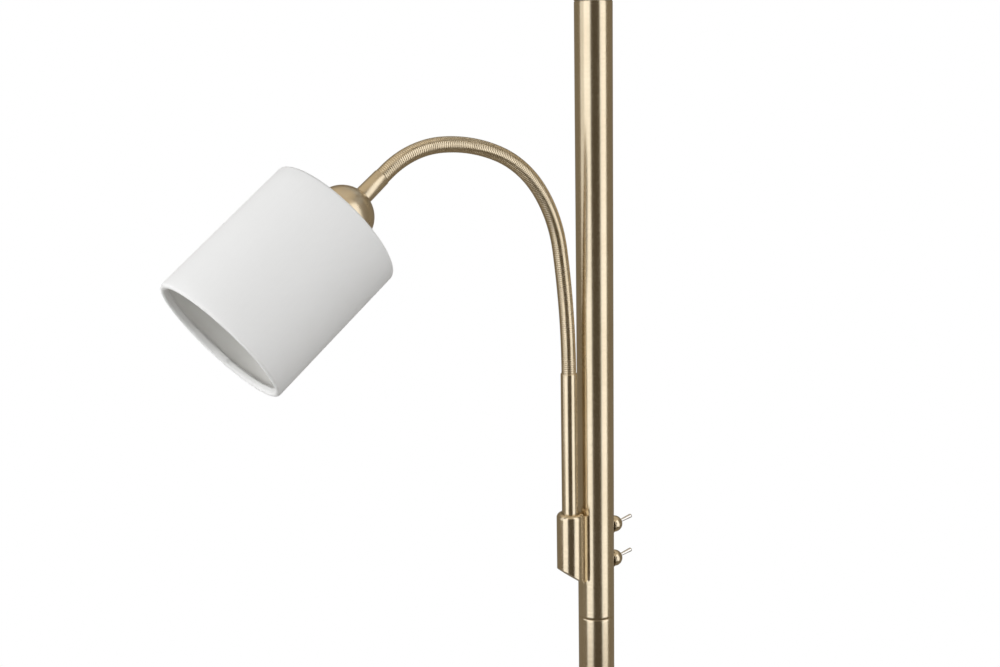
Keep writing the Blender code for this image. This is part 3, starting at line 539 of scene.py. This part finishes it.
for bore, start, end, sides in (
        (saddle_inner, (0, 0, bracket_top - 80 * MM), (0, 0, bracket_top + 20 * MM), 96),
        (arm_radius + FIT_GAP, (arm_x, 0, tube_seat), (arm_x, 0, bracket_top + 5 * MM), 64),
        (GRUB_HOLE, (arm_x, 0, grub_height), (arm_x, 15 * MM, grub_height), 32)):
    bracket = boolean(bracket, rod(bore, start, end, sides), "DIFFERENCE")
bmesh.ops.remove_doubles(bracket, verts=bracket.verts, dist=0.005 * MM)
bracket_brass = brushed_brass("bracket_brass", centre=(arm_x, 0, 0), marks=2200)
make_piece("arm_bracket_cast", bracket, bracket_brass, replaced=["arm_bracket"])

arm_bore = arm_radius - 1 * MM
arm_end = arm_high[2]
arm_rounding = 0.7 * MM
arm_tube = turned([
    (arm_bore, arm_low[2]), (arm_radius - 0.3 * MM, arm_low[2]), (arm_radius, arm_low[2] + 0.3 * MM),
    (arm_radius, arm_low[2] + 2 * MM), (arm_radius, arm_end - 2 * MM),
    *arc(arm_rounding, (arm_radius - arm_rounding, arm_end - arm_rounding), 0, 90, 5),
    (arm_bore + 0.1 * MM, arm_end), (arm_bore, arm_end - 0.3 * MM),
], steps=72)
arm_brass = brushed_brass("arm_tube_brass", centre=(arm_x, 0, 0))
make_piece("arm_tube_drawn", arm_tube, arm_brass, replaced=["arm_tube"],
           place=Matrix.Translation((arm_x, 0, 0)))


# -------------------------------- gooseneck
# A steel spring with a brass wire wound between its turns, so it bends and stays put. It is cut here at the
# middle of each stiff section, so that each length covers one hinge.

NECK_TURNS = (4.6, 4, 26, 34, 23, 37)      # degrees that each section curves outwards and down
NECK_SECTION = 47 * MM
NECK_TAIL = 7 * MM           # straight, beyond the last section
NECK_GAP = 0.15 * MM         # between the arm tube's end and the neck
NECK_RADIUS = 5.4 * MM       # of the wound wire, without its ribs
NECK_FOOT = 3 * MM           # how far the neck reaches into the arm tube
NECK_TIP = 1.5 * MM          # and into the ferrule
RIB_PITCH = 1.5 * MM
RIB_RISE = 0.15 * MM         # how far the ribs' crests stand out
RIB_CROWN = 0.025 * MM       # how far each crest stands above its own edges
GROOVE_DEPTH = 0.28 * MM
GROOVE_SHARE = 0.27          # of the pitch
RINGS_PER_RIB = 8
NECK_SIDES = 30

neck_start = Vector((arm_x, 0, arm_end + NECK_GAP))


def neck_at(distance):
    """The neck's centre this far along it, and how far it has turned from upright there, in radians."""
    centre = neck_start.copy()
    heading = 0.0
    for turn in NECK_TURNS:
        step = min(distance, NECK_SECTION)
        bend = radians(turn) * step / NECK_SECTION
        middle = heading + bend / 2
        chord = step * (sin(bend / 2) / (bend / 2) if bend else 1)
        centre += chord * Vector((-sin(middle), 0, cos(middle)))
        heading += bend
        distance -= step
    beyond = distance if distance > 0 else 0
    centre += beyond * Vector((-sin(heading), 0, cos(heading)))
    return centre, heading


def wound_neck(start, end):
    """The neck's surface between two distances along it, with its ribs running round as a screw thread."""
    count = ceil((end - start) / RIB_PITCH * RINGS_PER_RIB)
    shape = bmesh.new()
    ring = bmesh.ops.create_circle(shape, segments=NECK_SIDES, radius=NECK_RADIUS, cap_ends=False)["verts"]
    bmesh.ops.spin(shape, geom=ring + shape.edges[:], cent=(0, 0, 0), axis=(0, 0, 1), angle=0,
                   dvec=(0, 0, (end - start) / count), steps=count)
    for corner in shape.verts:
        around = Vector(corner.co.to_2d()).angle_signed(Vector((1, 0)), 0)
        distance = start + corner.co.z
        phase = (distance / RIB_PITCH + around / tau) % 1
        off_crest = abs(2 * phase - 1)
        groove = max(0, (off_crest - 1 + GROOVE_SHARE) / GROOVE_SHARE)
        radius = NECK_RADIUS + RIB_RISE - RIB_CROWN * off_crest ** 2 - GROOVE_DEPTH * groove ** 1.5
        centre, heading = neck_at(distance)
        inwards = Vector((cos(heading), 0, sin(heading)))
        corner.co = centre + radius * (cos(around) * inwards + sin(around) * Vector((0, 1, 0)))
    bmesh.ops.recalc_face_normals(shape, faces=shape.faces)
    return shape


# Brass wire and steel spring wound together under a thin coat of lacquer.
neck_brass = handled("gooseneck_brass", 0.012, BRASS_FRESH, BRASS_DULL, (0.2, 0.3), (0.01 * MM, 0.4),
                     colour_by="Mottle", rough_by="Amount", Metallic=1.0, Coat_Weight=0.2, Coat_Roughness=0.1)
neck_length = NECK_SECTION * len(NECK_TURNS)
cuts = [-NECK_FOOT, *(NECK_SECTION * (hinge + 0.5) for hinge in range(1, len(NECK_TURNS) - 1)),
        neck_length + NECK_TAIL + NECK_TIP]
for number, (start, end) in enumerate(zip(cuts, cuts[1:]), start=1):
    nodes = ["gooseneck_1", "gooseneck_2"] if number == 1 else [f"gooseneck_{number + 1}"]
    piece = make_piece(f"gooseneck_winding_{number}", wound_neck(start, end), neck_brass,
                       body=None, replaced=nodes)
    hinge = NECK_SECTION * number
    bend_start = neck_at(hinge - NECK_SECTION / 2)[0]
    bend_end = neck_at(hinge + NECK_SECTION / 2)[0]
    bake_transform(piece)


# -------------------------------- reading head: ferrule, dome cap and lampholder
# A brass ferrule and a spun dome cap sit over the lampholder. A threaded nipple and a hexagonal nut clamp
# them together, and the black lampholder carries an outer thread for the ring that holds the shade.

DOME_RADIUS = 20.8 * MM
DOME_HEIGHT = 27 * MM
DOME_WALL = 1.2 * MM
DOME_HOLE = 3.9 * MM
FERRULE_RADIUS = 6.2 * MM
FERRULE_LENGTH = 16 * MM
FERRULE_BORE = 3.2 * MM      # around the nipple
HOLDER_RADIUS = 13.4 * MM
HOLDER_BORE = 9.4 * MM
HOLDER_HOLE = 3.4 * MM       # in its top, for the nipple
HOLDER_TOP = 15 * MM
HOLDER_FLOOR = -12 * MM
HOLDER_BOTTOM = -34 * MM
THREAD_PITCH = 2 * MM
THREAD_DEPTH = 0.5 * MM

neck_end, neck_heading = neck_at(neck_length + NECK_TAIL)
head_axis = Vector((sin(neck_heading), 0, -cos(neck_heading)))       # back along the neck
shade_centre = neck_end - head_axis * (DOME_HEIGHT + FERRULE_LENGTH)   # the middle of the shade's top edge
head_side = Vector((0, 1, 0)).cross(head_axis)
head = Matrix((head_side, Vector((0, 1, 0)), head_axis)).transposed().to_4x4()
head.translation = shade_centre
head_turn = head.to_euler()
head_brass = brushed_brass("head_brass", centre=shade_centre, turn=head_turn, marks=1500, depth=0.02 * MM,
                           rough=(0.25, 0.34))

ferrule_low = DOME_HEIGHT - 0.4 * MM
ferrule_top = DOME_HEIGHT + FERRULE_LENGTH + 2 * MM
ferrule_seat = ferrule_top - 2.3 * MM       # where the neck ends inside it
ferrule_mouth = NECK_RADIUS + 0.2 * MM
ferrule = turned([
    (ferrule_mouth, ferrule_seat), (FERRULE_BORE, ferrule_seat), (FERRULE_BORE, DOME_HEIGHT - 0.2 * MM),
    (4.6 * MM, DOME_HEIGHT - 0.3 * MM), (FERRULE_RADIUS, ferrule_low - 0.4 * MM),
    (FERRULE_RADIUS, ferrule_low + 1 * MM), (FERRULE_RADIUS - 0.3 * MM, ferrule_top - 0.3 * MM),
    (FERRULE_RADIUS - 0.45 * MM, ferrule_top), (ferrule_mouth, ferrule_top),
], steps=64)
make_piece("gooseneck_ferrule_turned", ferrule, head_brass, "reading_head",
           ["gooseneck_ferrule"], head)

dome_centre = (0, DOME_HEIGHT - DOME_RADIUS)
dome_edge = degrees(asin((DOME_HEIGHT - DOME_RADIUS) / DOME_RADIUS))
dome = turned([
    (DOME_HOLE, DOME_HEIGHT - 0.4 * MM), *arc(DOME_RADIUS, dome_centre, 78, -dome_edge, 24),
    (DOME_RADIUS * cos(radians(dome_edge)) - 0.3 * MM, -0.1 * MM),
    *arc(DOME_RADIUS - DOME_WALL, dome_centre, -dome_edge - 1, 78, 16), (DOME_HOLE, DOME_HEIGHT - 1.7 * MM),
], steps=96)
make_piece("holder_dome_spun", dome, head_brass, "reading_head", ["holder_dome"], head)


def thread(radius, low, high, pitch, depth):
    """Profile points down a screw thread's outer side, as shallow rounded ridges."""
    points = []
    ridges = int((high - low) / pitch)
    for ridge in range(ridges):
        top = high - ridge * pitch
        points += [(radius - depth, top), (radius, top - 0.32 * pitch), (radius, top - 0.58 * pitch),
                   (radius - depth, top - 0.9 * pitch)]
    return points


holder = turned([
    (HOLDER_HOLE, HOLDER_TOP), (10.4 * MM, HOLDER_TOP),
    *arc(2.5 * MM, (10.9 * MM, HOLDER_TOP - 2.5 * MM), 80, 0, 5), (HOLDER_RADIUS, 2 * MM),
    *thread(HOLDER_RADIUS, -31 * MM, 1 * MM, THREAD_PITCH, THREAD_DEPTH),
    (HOLDER_RADIUS - 0.5 * MM, HOLDER_BOTTOM + 1 * MM), (HOLDER_RADIUS - 1.2 * MM, HOLDER_BOTTOM),
    (HOLDER_BORE, HOLDER_BOTTOM), (HOLDER_BORE, HOLDER_FLOOR), (HOLDER_HOLE, HOLDER_FLOOR),
], steps=64)
make_piece("reading_lampholder_moulded", holder, black_plastic, "reading_head",
           ["reading_lampholder"], head)


GRIP_DEPTH = 0.35 * MM


def knurled_ring(outer, bore, low, high, grips):
    """A shade ring: a screwed ring whose rim is scalloped for the fingers."""
    middle = (low + high) / 2
    shape = turned([
        (bore, low), (outer - 2 * MM, low), (outer - 0.6 * MM, low + 0.4 * MM), (outer, low + 1 * MM),
        (outer, middle), (outer, high - 0.8 * MM), (outer - 0.8 * MM, high), (bore + 0.6 * MM, high),
        (bore, high - 0.6 * MM),
    ], steps=grips * 6)
    for corner in shape.verts:
        flat = Vector((corner.co.x, corner.co.y, 0))
        if flat.length > outer - 0.9 * MM:
            around = flat.to_2d().angle_signed(Vector((1, 0)), 0)
            corner.co -= flat.normalized() * GRIP_DEPTH * (0.5 + 0.5 * cos(around * grips)) ** 3
    return shape


make_piece("reading_shade_ring", knurled_ring(18 * MM, 13.7 * MM, -7.4 * MM, -3 * MM, 24), black_plastic,
           "reading_head", ["reading_shade_nut"], head)


# -------------------------------- bulbs
# Opal glass bulbs with nickel-plated screw caps, one in each lampholder. The cap's thread is rolled into thin
# sheet, and a black insulator ring and a solder point close its end.

def plated(name, bright, dull, low, high, patch=0.006):
    """Plated sheet or rod: a bright metal with slight clouding that also roughens it."""
    return handled(name, patch, bright, dull, (low, high, 0.3, 0.7), (0.006 * MM, 0.4), colour_by="Mottle",
                   Metallic=1.0)


# Milky glass: smooth and glossy outside, with a faint cloudiness in its white.
glass = handled("opal_glass", 0.02, (0.93, 0.92, 0.89, 1), (0.9, 0.88, 0.83, 1), (0.07, 0.13), IOR=1.5,
                Subsurface_Weight=0.15, Subsurface_Scale=0.004, Subsurface_Radius=(1, 1, 1))
nickel = plated("nickel_plate", (0.74, 0.72, 0.68, 1), (0.6, 0.58, 0.55, 1), 0.16, 0.34)
BULB_WAIST = 4 * MM          # the straight part of the stem, above the cap


def bulb_glass(radius, stem, length):
    """A bulb's envelope about Z: a straight stem at zero, a smooth shoulder, and a round end."""
    middle = length - radius
    meets_radius, meets_drop = radius * 0.906, radius * 0.423      # of the ball, 25 degrees below its middle
    shoulder = [(stem + (meets_radius - stem) * (0.5 - 0.5 * cos(pi * step / 8)),
                 BULB_WAIST + (middle - meets_drop - BULB_WAIST) * step / 8) for step in range(8)]
    profile = [(0, 0), (stem, 0), *shoulder, *arc(radius, (0, middle), -25, 90, 20)]
    return turned(profile, steps=72, closed=False)


def bulb_cap(radius, low, high, tip):
    """A screw cap about Z from its open end at high down to the solder point at tip."""
    ridges = [(r - 0.02 * MM, z) for r, z in thread(radius, low + 2 * MM, high - 3 * MM, 2.8 * MM, 0.55 * MM)]
    return turned([
        (0, high), (radius, high), (radius, high - 2.4 * MM), *ridges,
        (radius - 0.8 * MM, low + 1.2 * MM), (radius * 0.5, low - (low - tip) * 0.6), (radius * 0.34, tip),
        (0, tip),
    ], steps=48, closed=False)


flipped = head @ Matrix.Rotation(pi, 4, "Y")
make_piece("reading_bulb_envelope", bulb_glass(22 * MM, 6.4 * MM, 50 * MM), glass,
           "reading_head", ["reading_bulb_glass"], flipped @ Matrix.Translation((0, 0, 35.3 * MM)))
make_piece("reading_bulb_screw_cap", bulb_cap(7 * MM, 15.6 * MM, 35 * MM, 12.4 * MM), nickel,
           "reading_head", ["reading_bulb_cap"], flipped)


# -------------------------------- drum shades
# Plain white woven fabric on a stiff backing, stretched over two wire hoops. At both rims the fabric is
# rolled round the hoop and folded inside, and its two ends overlap in one narrow glued seam.

FABRIC_THICKNESS = 0.35 * MM
FABRIC_WHITE = (0.885, 0.885, 0.88, 1)
# The darker white is painted shade in the gaps between threads, and also the random tone of the slubs.
FABRIC_SHADED = (0.8, 0.8, 0.795, 1)
THREADS_PER_METRE = 2100
SEAM_WIDTH = 10 * MM
HEM_PATCH = 3.15             # the doubled part of the hem, in seam widths
HEM_FOLD = 0.5 * MM          # how much further in the doubled hem lies
HEM_STEP = 0.35 * MM         # how much further its edge comes down
HEM_SLACK = 0.12 * MM        # the hem's slow waves
SHADE_STEPS = 240

# Plain weave: each thread is a rounded bar that goes over one crossing thread and under the next. Its gap
# output is high between the threads, and darkens the fabric's colour there as painted shade.
plain_weave, given, result = make_group(
    "plain_weave", {"Cloth": "NodeSocketVector", "Threads": "NodeSocketFloat"}, ("Height", "Gap Shade"))
split = add_node(plain_weave, "ShaderNodeSeparateXYZ", {0: given.outputs["Cloth"]})
crossings = [calc(plain_weave, "MULTIPLY", split.outputs[axis], given.outputs["Threads"]) for axis in (0, 1)]
bars = []
for across, along, shift in ((*crossings, 0.0), (*reversed(crossings), 1.0)):
    bar = calc(plain_weave, "ABSOLUTE", calc(plain_weave, "SINE", calc(plain_weave, "MULTIPLY", across, pi)))
    lane = calc(plain_weave, "ADD", calc(plain_weave, "FLOOR", across), shift)
    turn = calc(plain_weave, "MULTIPLY", calc(plain_weave, "ADD", along, lane), pi)
    wave = calc(plain_weave, "COSINE", turn)
    rise = calc(plain_weave, "MULTIPLY_ADD", wave, 0.5, 0.5)
    bars.append(calc(plain_weave, "MULTIPLY", calc(plain_weave, "SQRT", bar), rise))
top = calc(plain_weave, "MAXIMUM", *bars)
plain_weave.links.new(top, result.inputs["Height"])
plain_weave.links.new(calc(plain_weave, "SUBTRACT", 1.0, top), result.inputs["Gap Shade"])


def shade_fabric(name):
    """Woven white lampshade fabric, following the piece's own UV map in metres, with painted shade in the gaps
    between its threads.
    """
    finish, tree, shader = new_finish(name)[:3]
    cloth = add_node(tree, "ShaderNodeUVMap", uv_map="cloth").outputs[0]
    weave = add_node(tree, "ShaderNodeGroup", {"Cloth": cloth, "Threads": THREADS_PER_METRE},
                     node_tree=plain_weave)
    slub_place = add_node(tree, "ShaderNodeMapping", {"Vector": cloth, "Scale": (900, 40, 1)}).outputs[0]
    slubs = noise(tree, slub_place, 1.0, 2.0)
    # The colour darkens between the threads as painted shade, and at random along the slubs.
    gap_shade_and_slubs = calc(tree, "MULTIPLY_ADD", weave.outputs["Gap Shade"], 0.6, calc(tree, "MULTIPLY", slubs, 0.25))
    height = calc(tree, "MULTIPLY_ADD", slubs, 0.4, weave.outputs["Height"])
    set_shader(
        tree, shader, Base_Color=mixed(tree, gap_shade_and_slubs, FABRIC_WHITE, FABRIC_SHADED), Sheen_Weight=0.15,
        Sheen_Roughness=0.5, Specular_IOR_Level=0.25,
        Roughness=spread(tree, gap_shade_and_slubs, 0.82, 0.95), Normal=bumped(tree, height, 0.05 * MM, 0.5))
    return finish


fabric = shade_fabric("white_shade_fabric")
# The thin white plastic sheet that the fabric is laminated to, seen inside the shade.
backing = handled("shade_backing", 0.05, (0.86, 0.86, 0.84, 1), (0.83, 0.825, 0.8, 1), (0.5, 0.62),
                  (0.02 * MM, 0.3))
# Powder-coated wire: a soft gloss with the fine orange-peel of the fused powder.
white_wire = handled("white_powder_coat", 0.003, (0.86, 0.86, 0.85, 1), (0.7912, 0.7912, 0.782, 1),
                     (0.34, 0.48), (0.02 * MM, 0.5), colour_by="Mottle", rough_by="Amount")


def rolled_shade(radius, height, roll, hem, seam_angle):
    """The fabric of a drum shade about Z, below zero: wall, rims rolled round the hoops, and folded hems.

    The seam starts at its angle, and over the seam's width the outer layer lies on the inner one.
    """
    wall = radius - FABRIC_THICKNESS / 2
    inner = wall - 2 * roll
    turn_centre = wall - roll
    top = -FABRIC_THICKNESS / 2
    bottom = -height + FABRIC_THICKNESS / 2
    profile = [(inner, top - roll - hem), (inner, top - roll - hem / 2),
               *arc(roll, (turn_centre, top - roll), 180, 0, 8)]
    profile += [(wall, top - roll - (height - 2 * roll) * step / 12) for step in range(1, 12)]
    profile += [*arc(roll, (turn_centre, bottom + roll), 0, -180, 8),
                (inner, bottom + roll + hem / 2), (inner, bottom + roll + hem)]
    shape = turned(profile, SHADE_STEPS, closed=False)
    cloth = shape.loops.layers.uv.new("cloth")
    for face in shape.faces:
        middle = face.calc_center_median().to_2d().angle_signed(Vector((1, 0)), 0)
        for loop in face.loops:
            around = loop.vert.co.to_2d().angle_signed(Vector((1, 0)), 0)
            around += tau * round((middle - around) / tau)
            over_rim = wall - loop.vert.co.to_2d().length
            z = loop.vert.co.z
            loop[cloth].uv = (around * radius, z + over_rim * (1 if z > -height / 2 else -1))
    seam = SEAM_WIDTH / radius
    for corner in shape.verts:
        flat = Vector((corner.co.x, corner.co.y, 0))
        past = (flat.to_2d().angle_signed(Vector((1, 0)), 0) - seam_angle) % tau
        side = (flat.length - turn_centre) / roll          # +1 on the wall, -1 on the hem
        layer = FABRIC_THICKNESS * (1 if past < seam else 0)
        fold = HEM_FOLD * (1 if past < HEM_PATCH * seam and side < -0.5 else 0)
        slack = HEM_SLACK * sin(5 * past) * sin(2 * past + 1) * (1 if side < -0.5 else 0.3)
        corner.co += flat.normalized() * (side * layer - fold + slack)
        if fold and side < -0.9:
            corner.co.z += HEM_STEP * (1 if corner.co.z < -height / 2 else -1)
    bmesh.ops.recalc_face_normals(shape, faces=shape.faces)
    return shape


def shade_backing(radius, height, inset):
    """The backing inside the fabric, which ends under the folded hems."""
    outer = radius - FABRIC_THICKNESS - 0.1 * MM
    inner = outer - 0.35 * MM
    return turned([(outer, -inset), (outer, -height + inset), (inner, -height + inset), (inner, -inset)],
                  SHADE_STEPS // 2)


def wire_hoop(radius, wire, height):
    """A round wire ring about Z."""
    return turned(arc(wire, (radius, height), 0, 330, 11), steps=144)


def shade_carrier(hoop_radius, wire, ring_outer, ring_bore, height):
    """The upper hoop with three spokes welded to a flat pressed ring that sits on the lampholder."""
    plate = 0.75 * MM        # half its thickness
    lip = 1.2 * MM
    carrier = turned([
        (ring_bore, height - plate), (ring_outer - lip, height - plate),
        (ring_outer, height - plate + 0.3 * MM), (ring_outer, height + plate - 0.3 * MM),
        (ring_outer - 0.4 * MM, height + plate), (ring_bore, height + plate),
    ], steps=72)
    carrier = boolean(carrier, wire_hoop(hoop_radius, wire, height), "UNION")
    for spoke in range(3):
        way = Matrix.Rotation(radians(120 * spoke + 30), 3, "Z") @ Vector((1, 0, 0))
        level = Vector((0, 0, height))
        bar = rod(wire * 0.9, way * (ring_outer - 3 * MM) + level, way * hoop_radius + level, 20)
        carrier = boolean(carrier, bar, "UNION")
    return carrier


def drum_shade(prefix, body, place, radius, height, wire, hem, ring_sizes, levels, seam_angle):
    """A whole shade: fabric, backing, carrier and plain hoop, put in place and fixed to its body."""
    roll = wire + FABRIC_THICKNESS + 0.5 * MM
    hoop_radius = radius - FABRIC_THICKNESS - roll
    ring_outer, ring_bore = ring_sizes
    carrier_level, hoop_level = levels
    hoop = make_piece(f"{prefix}_shade_plain_hoop", wire_hoop(hoop_radius, wire, hoop_level), white_wire,
                      body, [f"{prefix}_shade_hoop"], place)
    carrier = make_piece(f"{prefix}_shade_welded_carrier",
                         shade_carrier(hoop_radius, wire, ring_outer, ring_bore, carrier_level), white_wire,
                         body, [f"{prefix}_shade_carrier"], place)
    make_piece(f"{prefix}_shade_backing", shade_backing(radius, height, 2 * wire), backing,
               body, [], place)
    cover = make_piece(f"{prefix}_shade_fabric", rolled_shade(radius, height, roll, hem, seam_angle), fabric,
                       body, [f"{prefix}_shade"], place)
    weight = cover.modifiers.new("fabric thickness", "SOLIDIFY")
    weight.thickness = FABRIC_THICKNESS
    weight.offset = 0


READING_SHADE_RADIUS = 50 * MM
READING_SHADE_HEIGHT = 109 * MM
drum_shade("reading", "reading_head", head, READING_SHADE_RADIUS, READING_SHADE_HEIGHT, wire=1.2 * MM,
           hem=2.6 * MM, ring_sizes=(20 * MM, 13.8 * MM), levels=(-1.6 * MM, -106.9 * MM),
           seam_angle=radians(52.1))


# -------------------------------- top light
# A turned reducer on the pole's sleeve, a spun brass cup around the black lampholder, and the large drum
# shade clamped between two knurled rings.

sleeve_radius = reach_of("pole_top_sleeve")[0]
reducer_low, reducer_top = reach_of("top_reducer")[1:]
reducer = turned([
    (ROD_HOLE, reducer_low), (sleeve_radius - 0.4 * MM, reducer_low), (sleeve_radius, reducer_low + 0.4 * MM),
    *arc(5 * MM, (sleeve_radius - 5 * MM, reducer_low + 0.5 * MM), 0, 78, 8),
    (6.8 * MM, reducer_top - 1.9 * MM), (6.5 * MM, reducer_top - 1.4 * MM),
    (6.5 * MM, reducer_top - 0.2 * MM), (6.2 * MM, reducer_top), (ROD_HOLE, reducer_top),
], steps=72)
make_piece("top_reducer_turned", reducer, pole_brass, replaced=["top_reducer"])

cup_radius, cup_low, cup_top = reach_of("top_holder_cup")
cup_bend = (cup_radius - 8 * MM, cup_low + 8 * MM)
cup = turned([
    (ROD_HOLE, cup_low), *arc(8 * MM, cup_bend, -90, 0, 12), (cup_radius, cup_top - 0.5 * MM),
    (cup_radius - 0.35 * MM, cup_top), (cup_radius - 0.9 * MM, cup_top),
    (cup_radius - 1.2 * MM, cup_top - 0.4 * MM), *arc(6.8 * MM, cup_bend, 0, -90, 10),
    (ROD_HOLE, cup_low + 1.2 * MM),
], steps=84)
make_piece("top_holder_cup_spun", cup, pole_brass, replaced=["top_holder_cup"])

holder_radius, holder_low, holder_top = reach_of("top_lampholder")
holder_hole, holder_bore = 4 * MM, 14.2 * MM
seat = holder_low + 24 * MM
ridges = thread(holder_radius, holder_top - 23 * MM, holder_top - 1 * MM, 2.5 * MM, 0.6 * MM)
top_holder = turned([
    (holder_hole, holder_low), (13 * MM, holder_low), (holder_radius, holder_low + 7 * MM),
    (holder_radius, holder_top - 24 * MM), *reversed(ridges),
    (holder_radius - 0.6 * MM, holder_top - 0.6 * MM), (holder_radius - 1.2 * MM, holder_top),
    (holder_bore, holder_top), (holder_bore, seat), (holder_hole, seat),
], steps=84)
make_piece("top_lampholder_moulded", top_holder, black_plastic, replaced=["top_lampholder"])

for node in ("top_shade_lower_nut", "top_shade_upper_nut"):
    radius, low, high = reach_of(node)
    make_piece(node + "_knurled", knurled_ring(radius, 19.2 * MM, low, high, 30), black_plastic,
               replaced=[node])

glass_radius, glass_low, glass_top = reach_of("top_bulb_glass")
make_piece("top_bulb_envelope", bulb_glass(glass_radius, 12.5 * MM, glass_top - glass_low), glass,
           replaced=["top_bulb_glass"], place=Matrix.Translation((0, 0, glass_low)))
cap_radius, cap_low, cap_top = reach_of("top_bulb_cap")
make_piece("top_bulb_screw_cap", bulb_cap(cap_radius, cap_low + 5 * MM, cap_top, cap_low), nickel,
           replaced=["top_bulb_cap"])

shade_radius, shade_low, shade_top = reach_of("top_shade")
carrier_low, carrier_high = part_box("top_shade_carrier")
carrier_level = (carrier_low[2] + carrier_high[2]) / 2 - shade_low
drum_shade("top", "stand", Matrix.Translation((0, 0, shade_low)) @ Matrix.Rotation(pi, 4, "X"), shade_radius,
           shade_top - shade_low, wire=1.5 * MM, hem=6 * MM, ring_sizes=(27 * MM, 19.2 * MM),
           levels=(-carrier_level, shade_low - shade_top + 2.4 * MM), seam_angle=radians(95))


# -------------------------------- toggle switches
# Each switch body sits inside the pole. Outside are a thin washer, a ball-shaped brass nut, and a chrome
# lever that tips up for on and down for off.

BALL_RADIUS = 6.4 * MM
BALL_OFFSET = 18.4 * MM
LEVER_PIVOT = 19.5 * MM
LEVER_LENGTH = 16.5 * MM
LEVER_TILT = radians(11)
LEVER_BALL = 2.1 * MM        # inside the nut's mouth
LEVER_TIP = 1.55 * MM

chrome = plated("polished_chrome", (0.8, 0.8, 0.81, 1), (0.72, 0.72, 0.73, 1), 0.05, 0.12, patch=0.004)
for level in ("upper", "lower"):
    low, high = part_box(f"switch_washer_{level}")
    height = (low[2] + high[2]) / 2
    outwards = Matrix.Translation((0, 0, height)) @ sideways
    brass = brushed_brass(f"switch_brass_{level}", centre=(0, 0, height), turn=(0, pi / 2, 0), marks=2800)
    washer_radius = (high[2] - low[2]) / 2
    washer = turned([
        (3.4 * MM, low[0]), (washer_radius - 0.2 * MM, low[0]), (washer_radius, low[0] + 0.2 * MM),
        (washer_radius, high[0] - 0.25 * MM), (washer_radius - 0.25 * MM, high[0]), (3.4 * MM, high[0]),
    ], steps=64)
    make_piece(f"switch_washer_{level}_turned", washer, brass,
               replaced=[f"switch_washer_{level}"], place=outwards)

    back = BALL_OFFSET - BALL_RADIUS * sin(radians(28))
    mouth = BALL_OFFSET + BALL_RADIUS * sin(radians(66))
    ball = turned([
        (3.3 * MM, back), *arc(BALL_RADIUS, (0, BALL_OFFSET), -28, 65, 24), (2.45 * MM, mouth - 0.05 * MM),
        (2.3 * MM, mouth - 0.4 * MM), (2.4 * MM, 21.8 * MM), (3.3 * MM, 21.2 * MM),
    ], steps=72)
    make_piece(f"switch_ball_nut_{level}_turned", ball, brass,
               replaced=[f"switch_ball_nut_{level}"], place=outwards)

    lever = turned([
        (0, -LEVER_BALL), *arc(LEVER_BALL, (0, 0), -75, 55, 10), (1.15 * MM, 4.6 * MM), (1.2 * MM, 6 * MM),
        (LEVER_TIP, LEVER_LENGTH - 1.2 * MM),
        *arc(0.9 * MM, (LEVER_TIP - 0.9 * MM, LEVER_LENGTH - 0.9 * MM), 0, 80, 6), (0, LEVER_LENGTH),
    ], steps=40, closed=False)
    lever_place = Matrix.Translation((LEVER_PIVOT, 0, height)) @ Matrix.Rotation(pi / 2 - LEVER_TILT, 4, "Y")
    make_piece(f"switch_lever_{level}_turned", lever, chrome, f"{level}_toggle",
               [f"switch_lever_{level}"], lever_place)


# -------------------------------- fixings and leads inside
# Couplers, nipples and nuts of zinc-plated steel hold the lamp together from inside, the felt pad and the
# cast weight lie under the cover, and the leads run through the pole to both lights. They keep CAD shapes.

def grainy(name, scale, detail, dark, light, rough, height, **values):
    """A rough material of fine grains or fibres, with so many to the metre and as high as given in metres."""
    finish, tree, shader, place = new_finish(name)
    grains = noise(tree, place, scale, detail)
    set_shader(tree, shader, Base_Color=mixed(tree, grains, dark, light),
               Roughness=spread(tree, grains, *rough), Normal=bumped(tree, grains, height, 0.8), **values)
    return finish


# A soft mat of short fibres; grey iron with a thin coat of black paint; and soft brown plastic, slightly
# uneven from being drawn.
felt = grainy("black_felt", 1500.0, 4.0, (0.018, 0.018, 0.02, 1), (0.055, 0.053, 0.052, 1), (0.88, 1.0),
              0.2 * MM, Sheen_Weight=0.4)
casting = grainy("cast_iron", 700.0, 5.0, (0.05, 0.05, 0.052, 1), (0.14, 0.135, 0.13, 1), (0.6, 0.85),
                 0.3 * MM, Metallic=0.4)
sheath = handled("lead_sheath", 0.01, (0.3, 0.25, 0.16, 1), (0.24, 0.19, 0.12, 1), (0.4, 0.55),
                 (0.03 * MM, 0.4))
HIDDEN_FINISHES = {
    "satin_brass": pole_brass,
    "zinc_plated_steel": plated("zinc_plate", (0.66, 0.67, 0.68, 1), (0.52, 0.53, 0.54, 1), 0.28, 0.45),
    "nickel_cap": nickel,
    "opal_glass": glass,
    "chrome_lever": chrome,
    "black_phenolic": black_plastic,
    "white_shade_fabric": backing,
    "white_wire": white_wire,
    "lead_sheath": sheath,
    "black_felt": felt,
    "cast_iron_weight": casting,
}
for subpart in frame["record"]["subparts"]:
    node = frame["nodes"][subpart["node"]]
    node.data.materials.clear()
    node.data.materials.append(HIDDEN_FINISHES[subpart["material_slot"]])
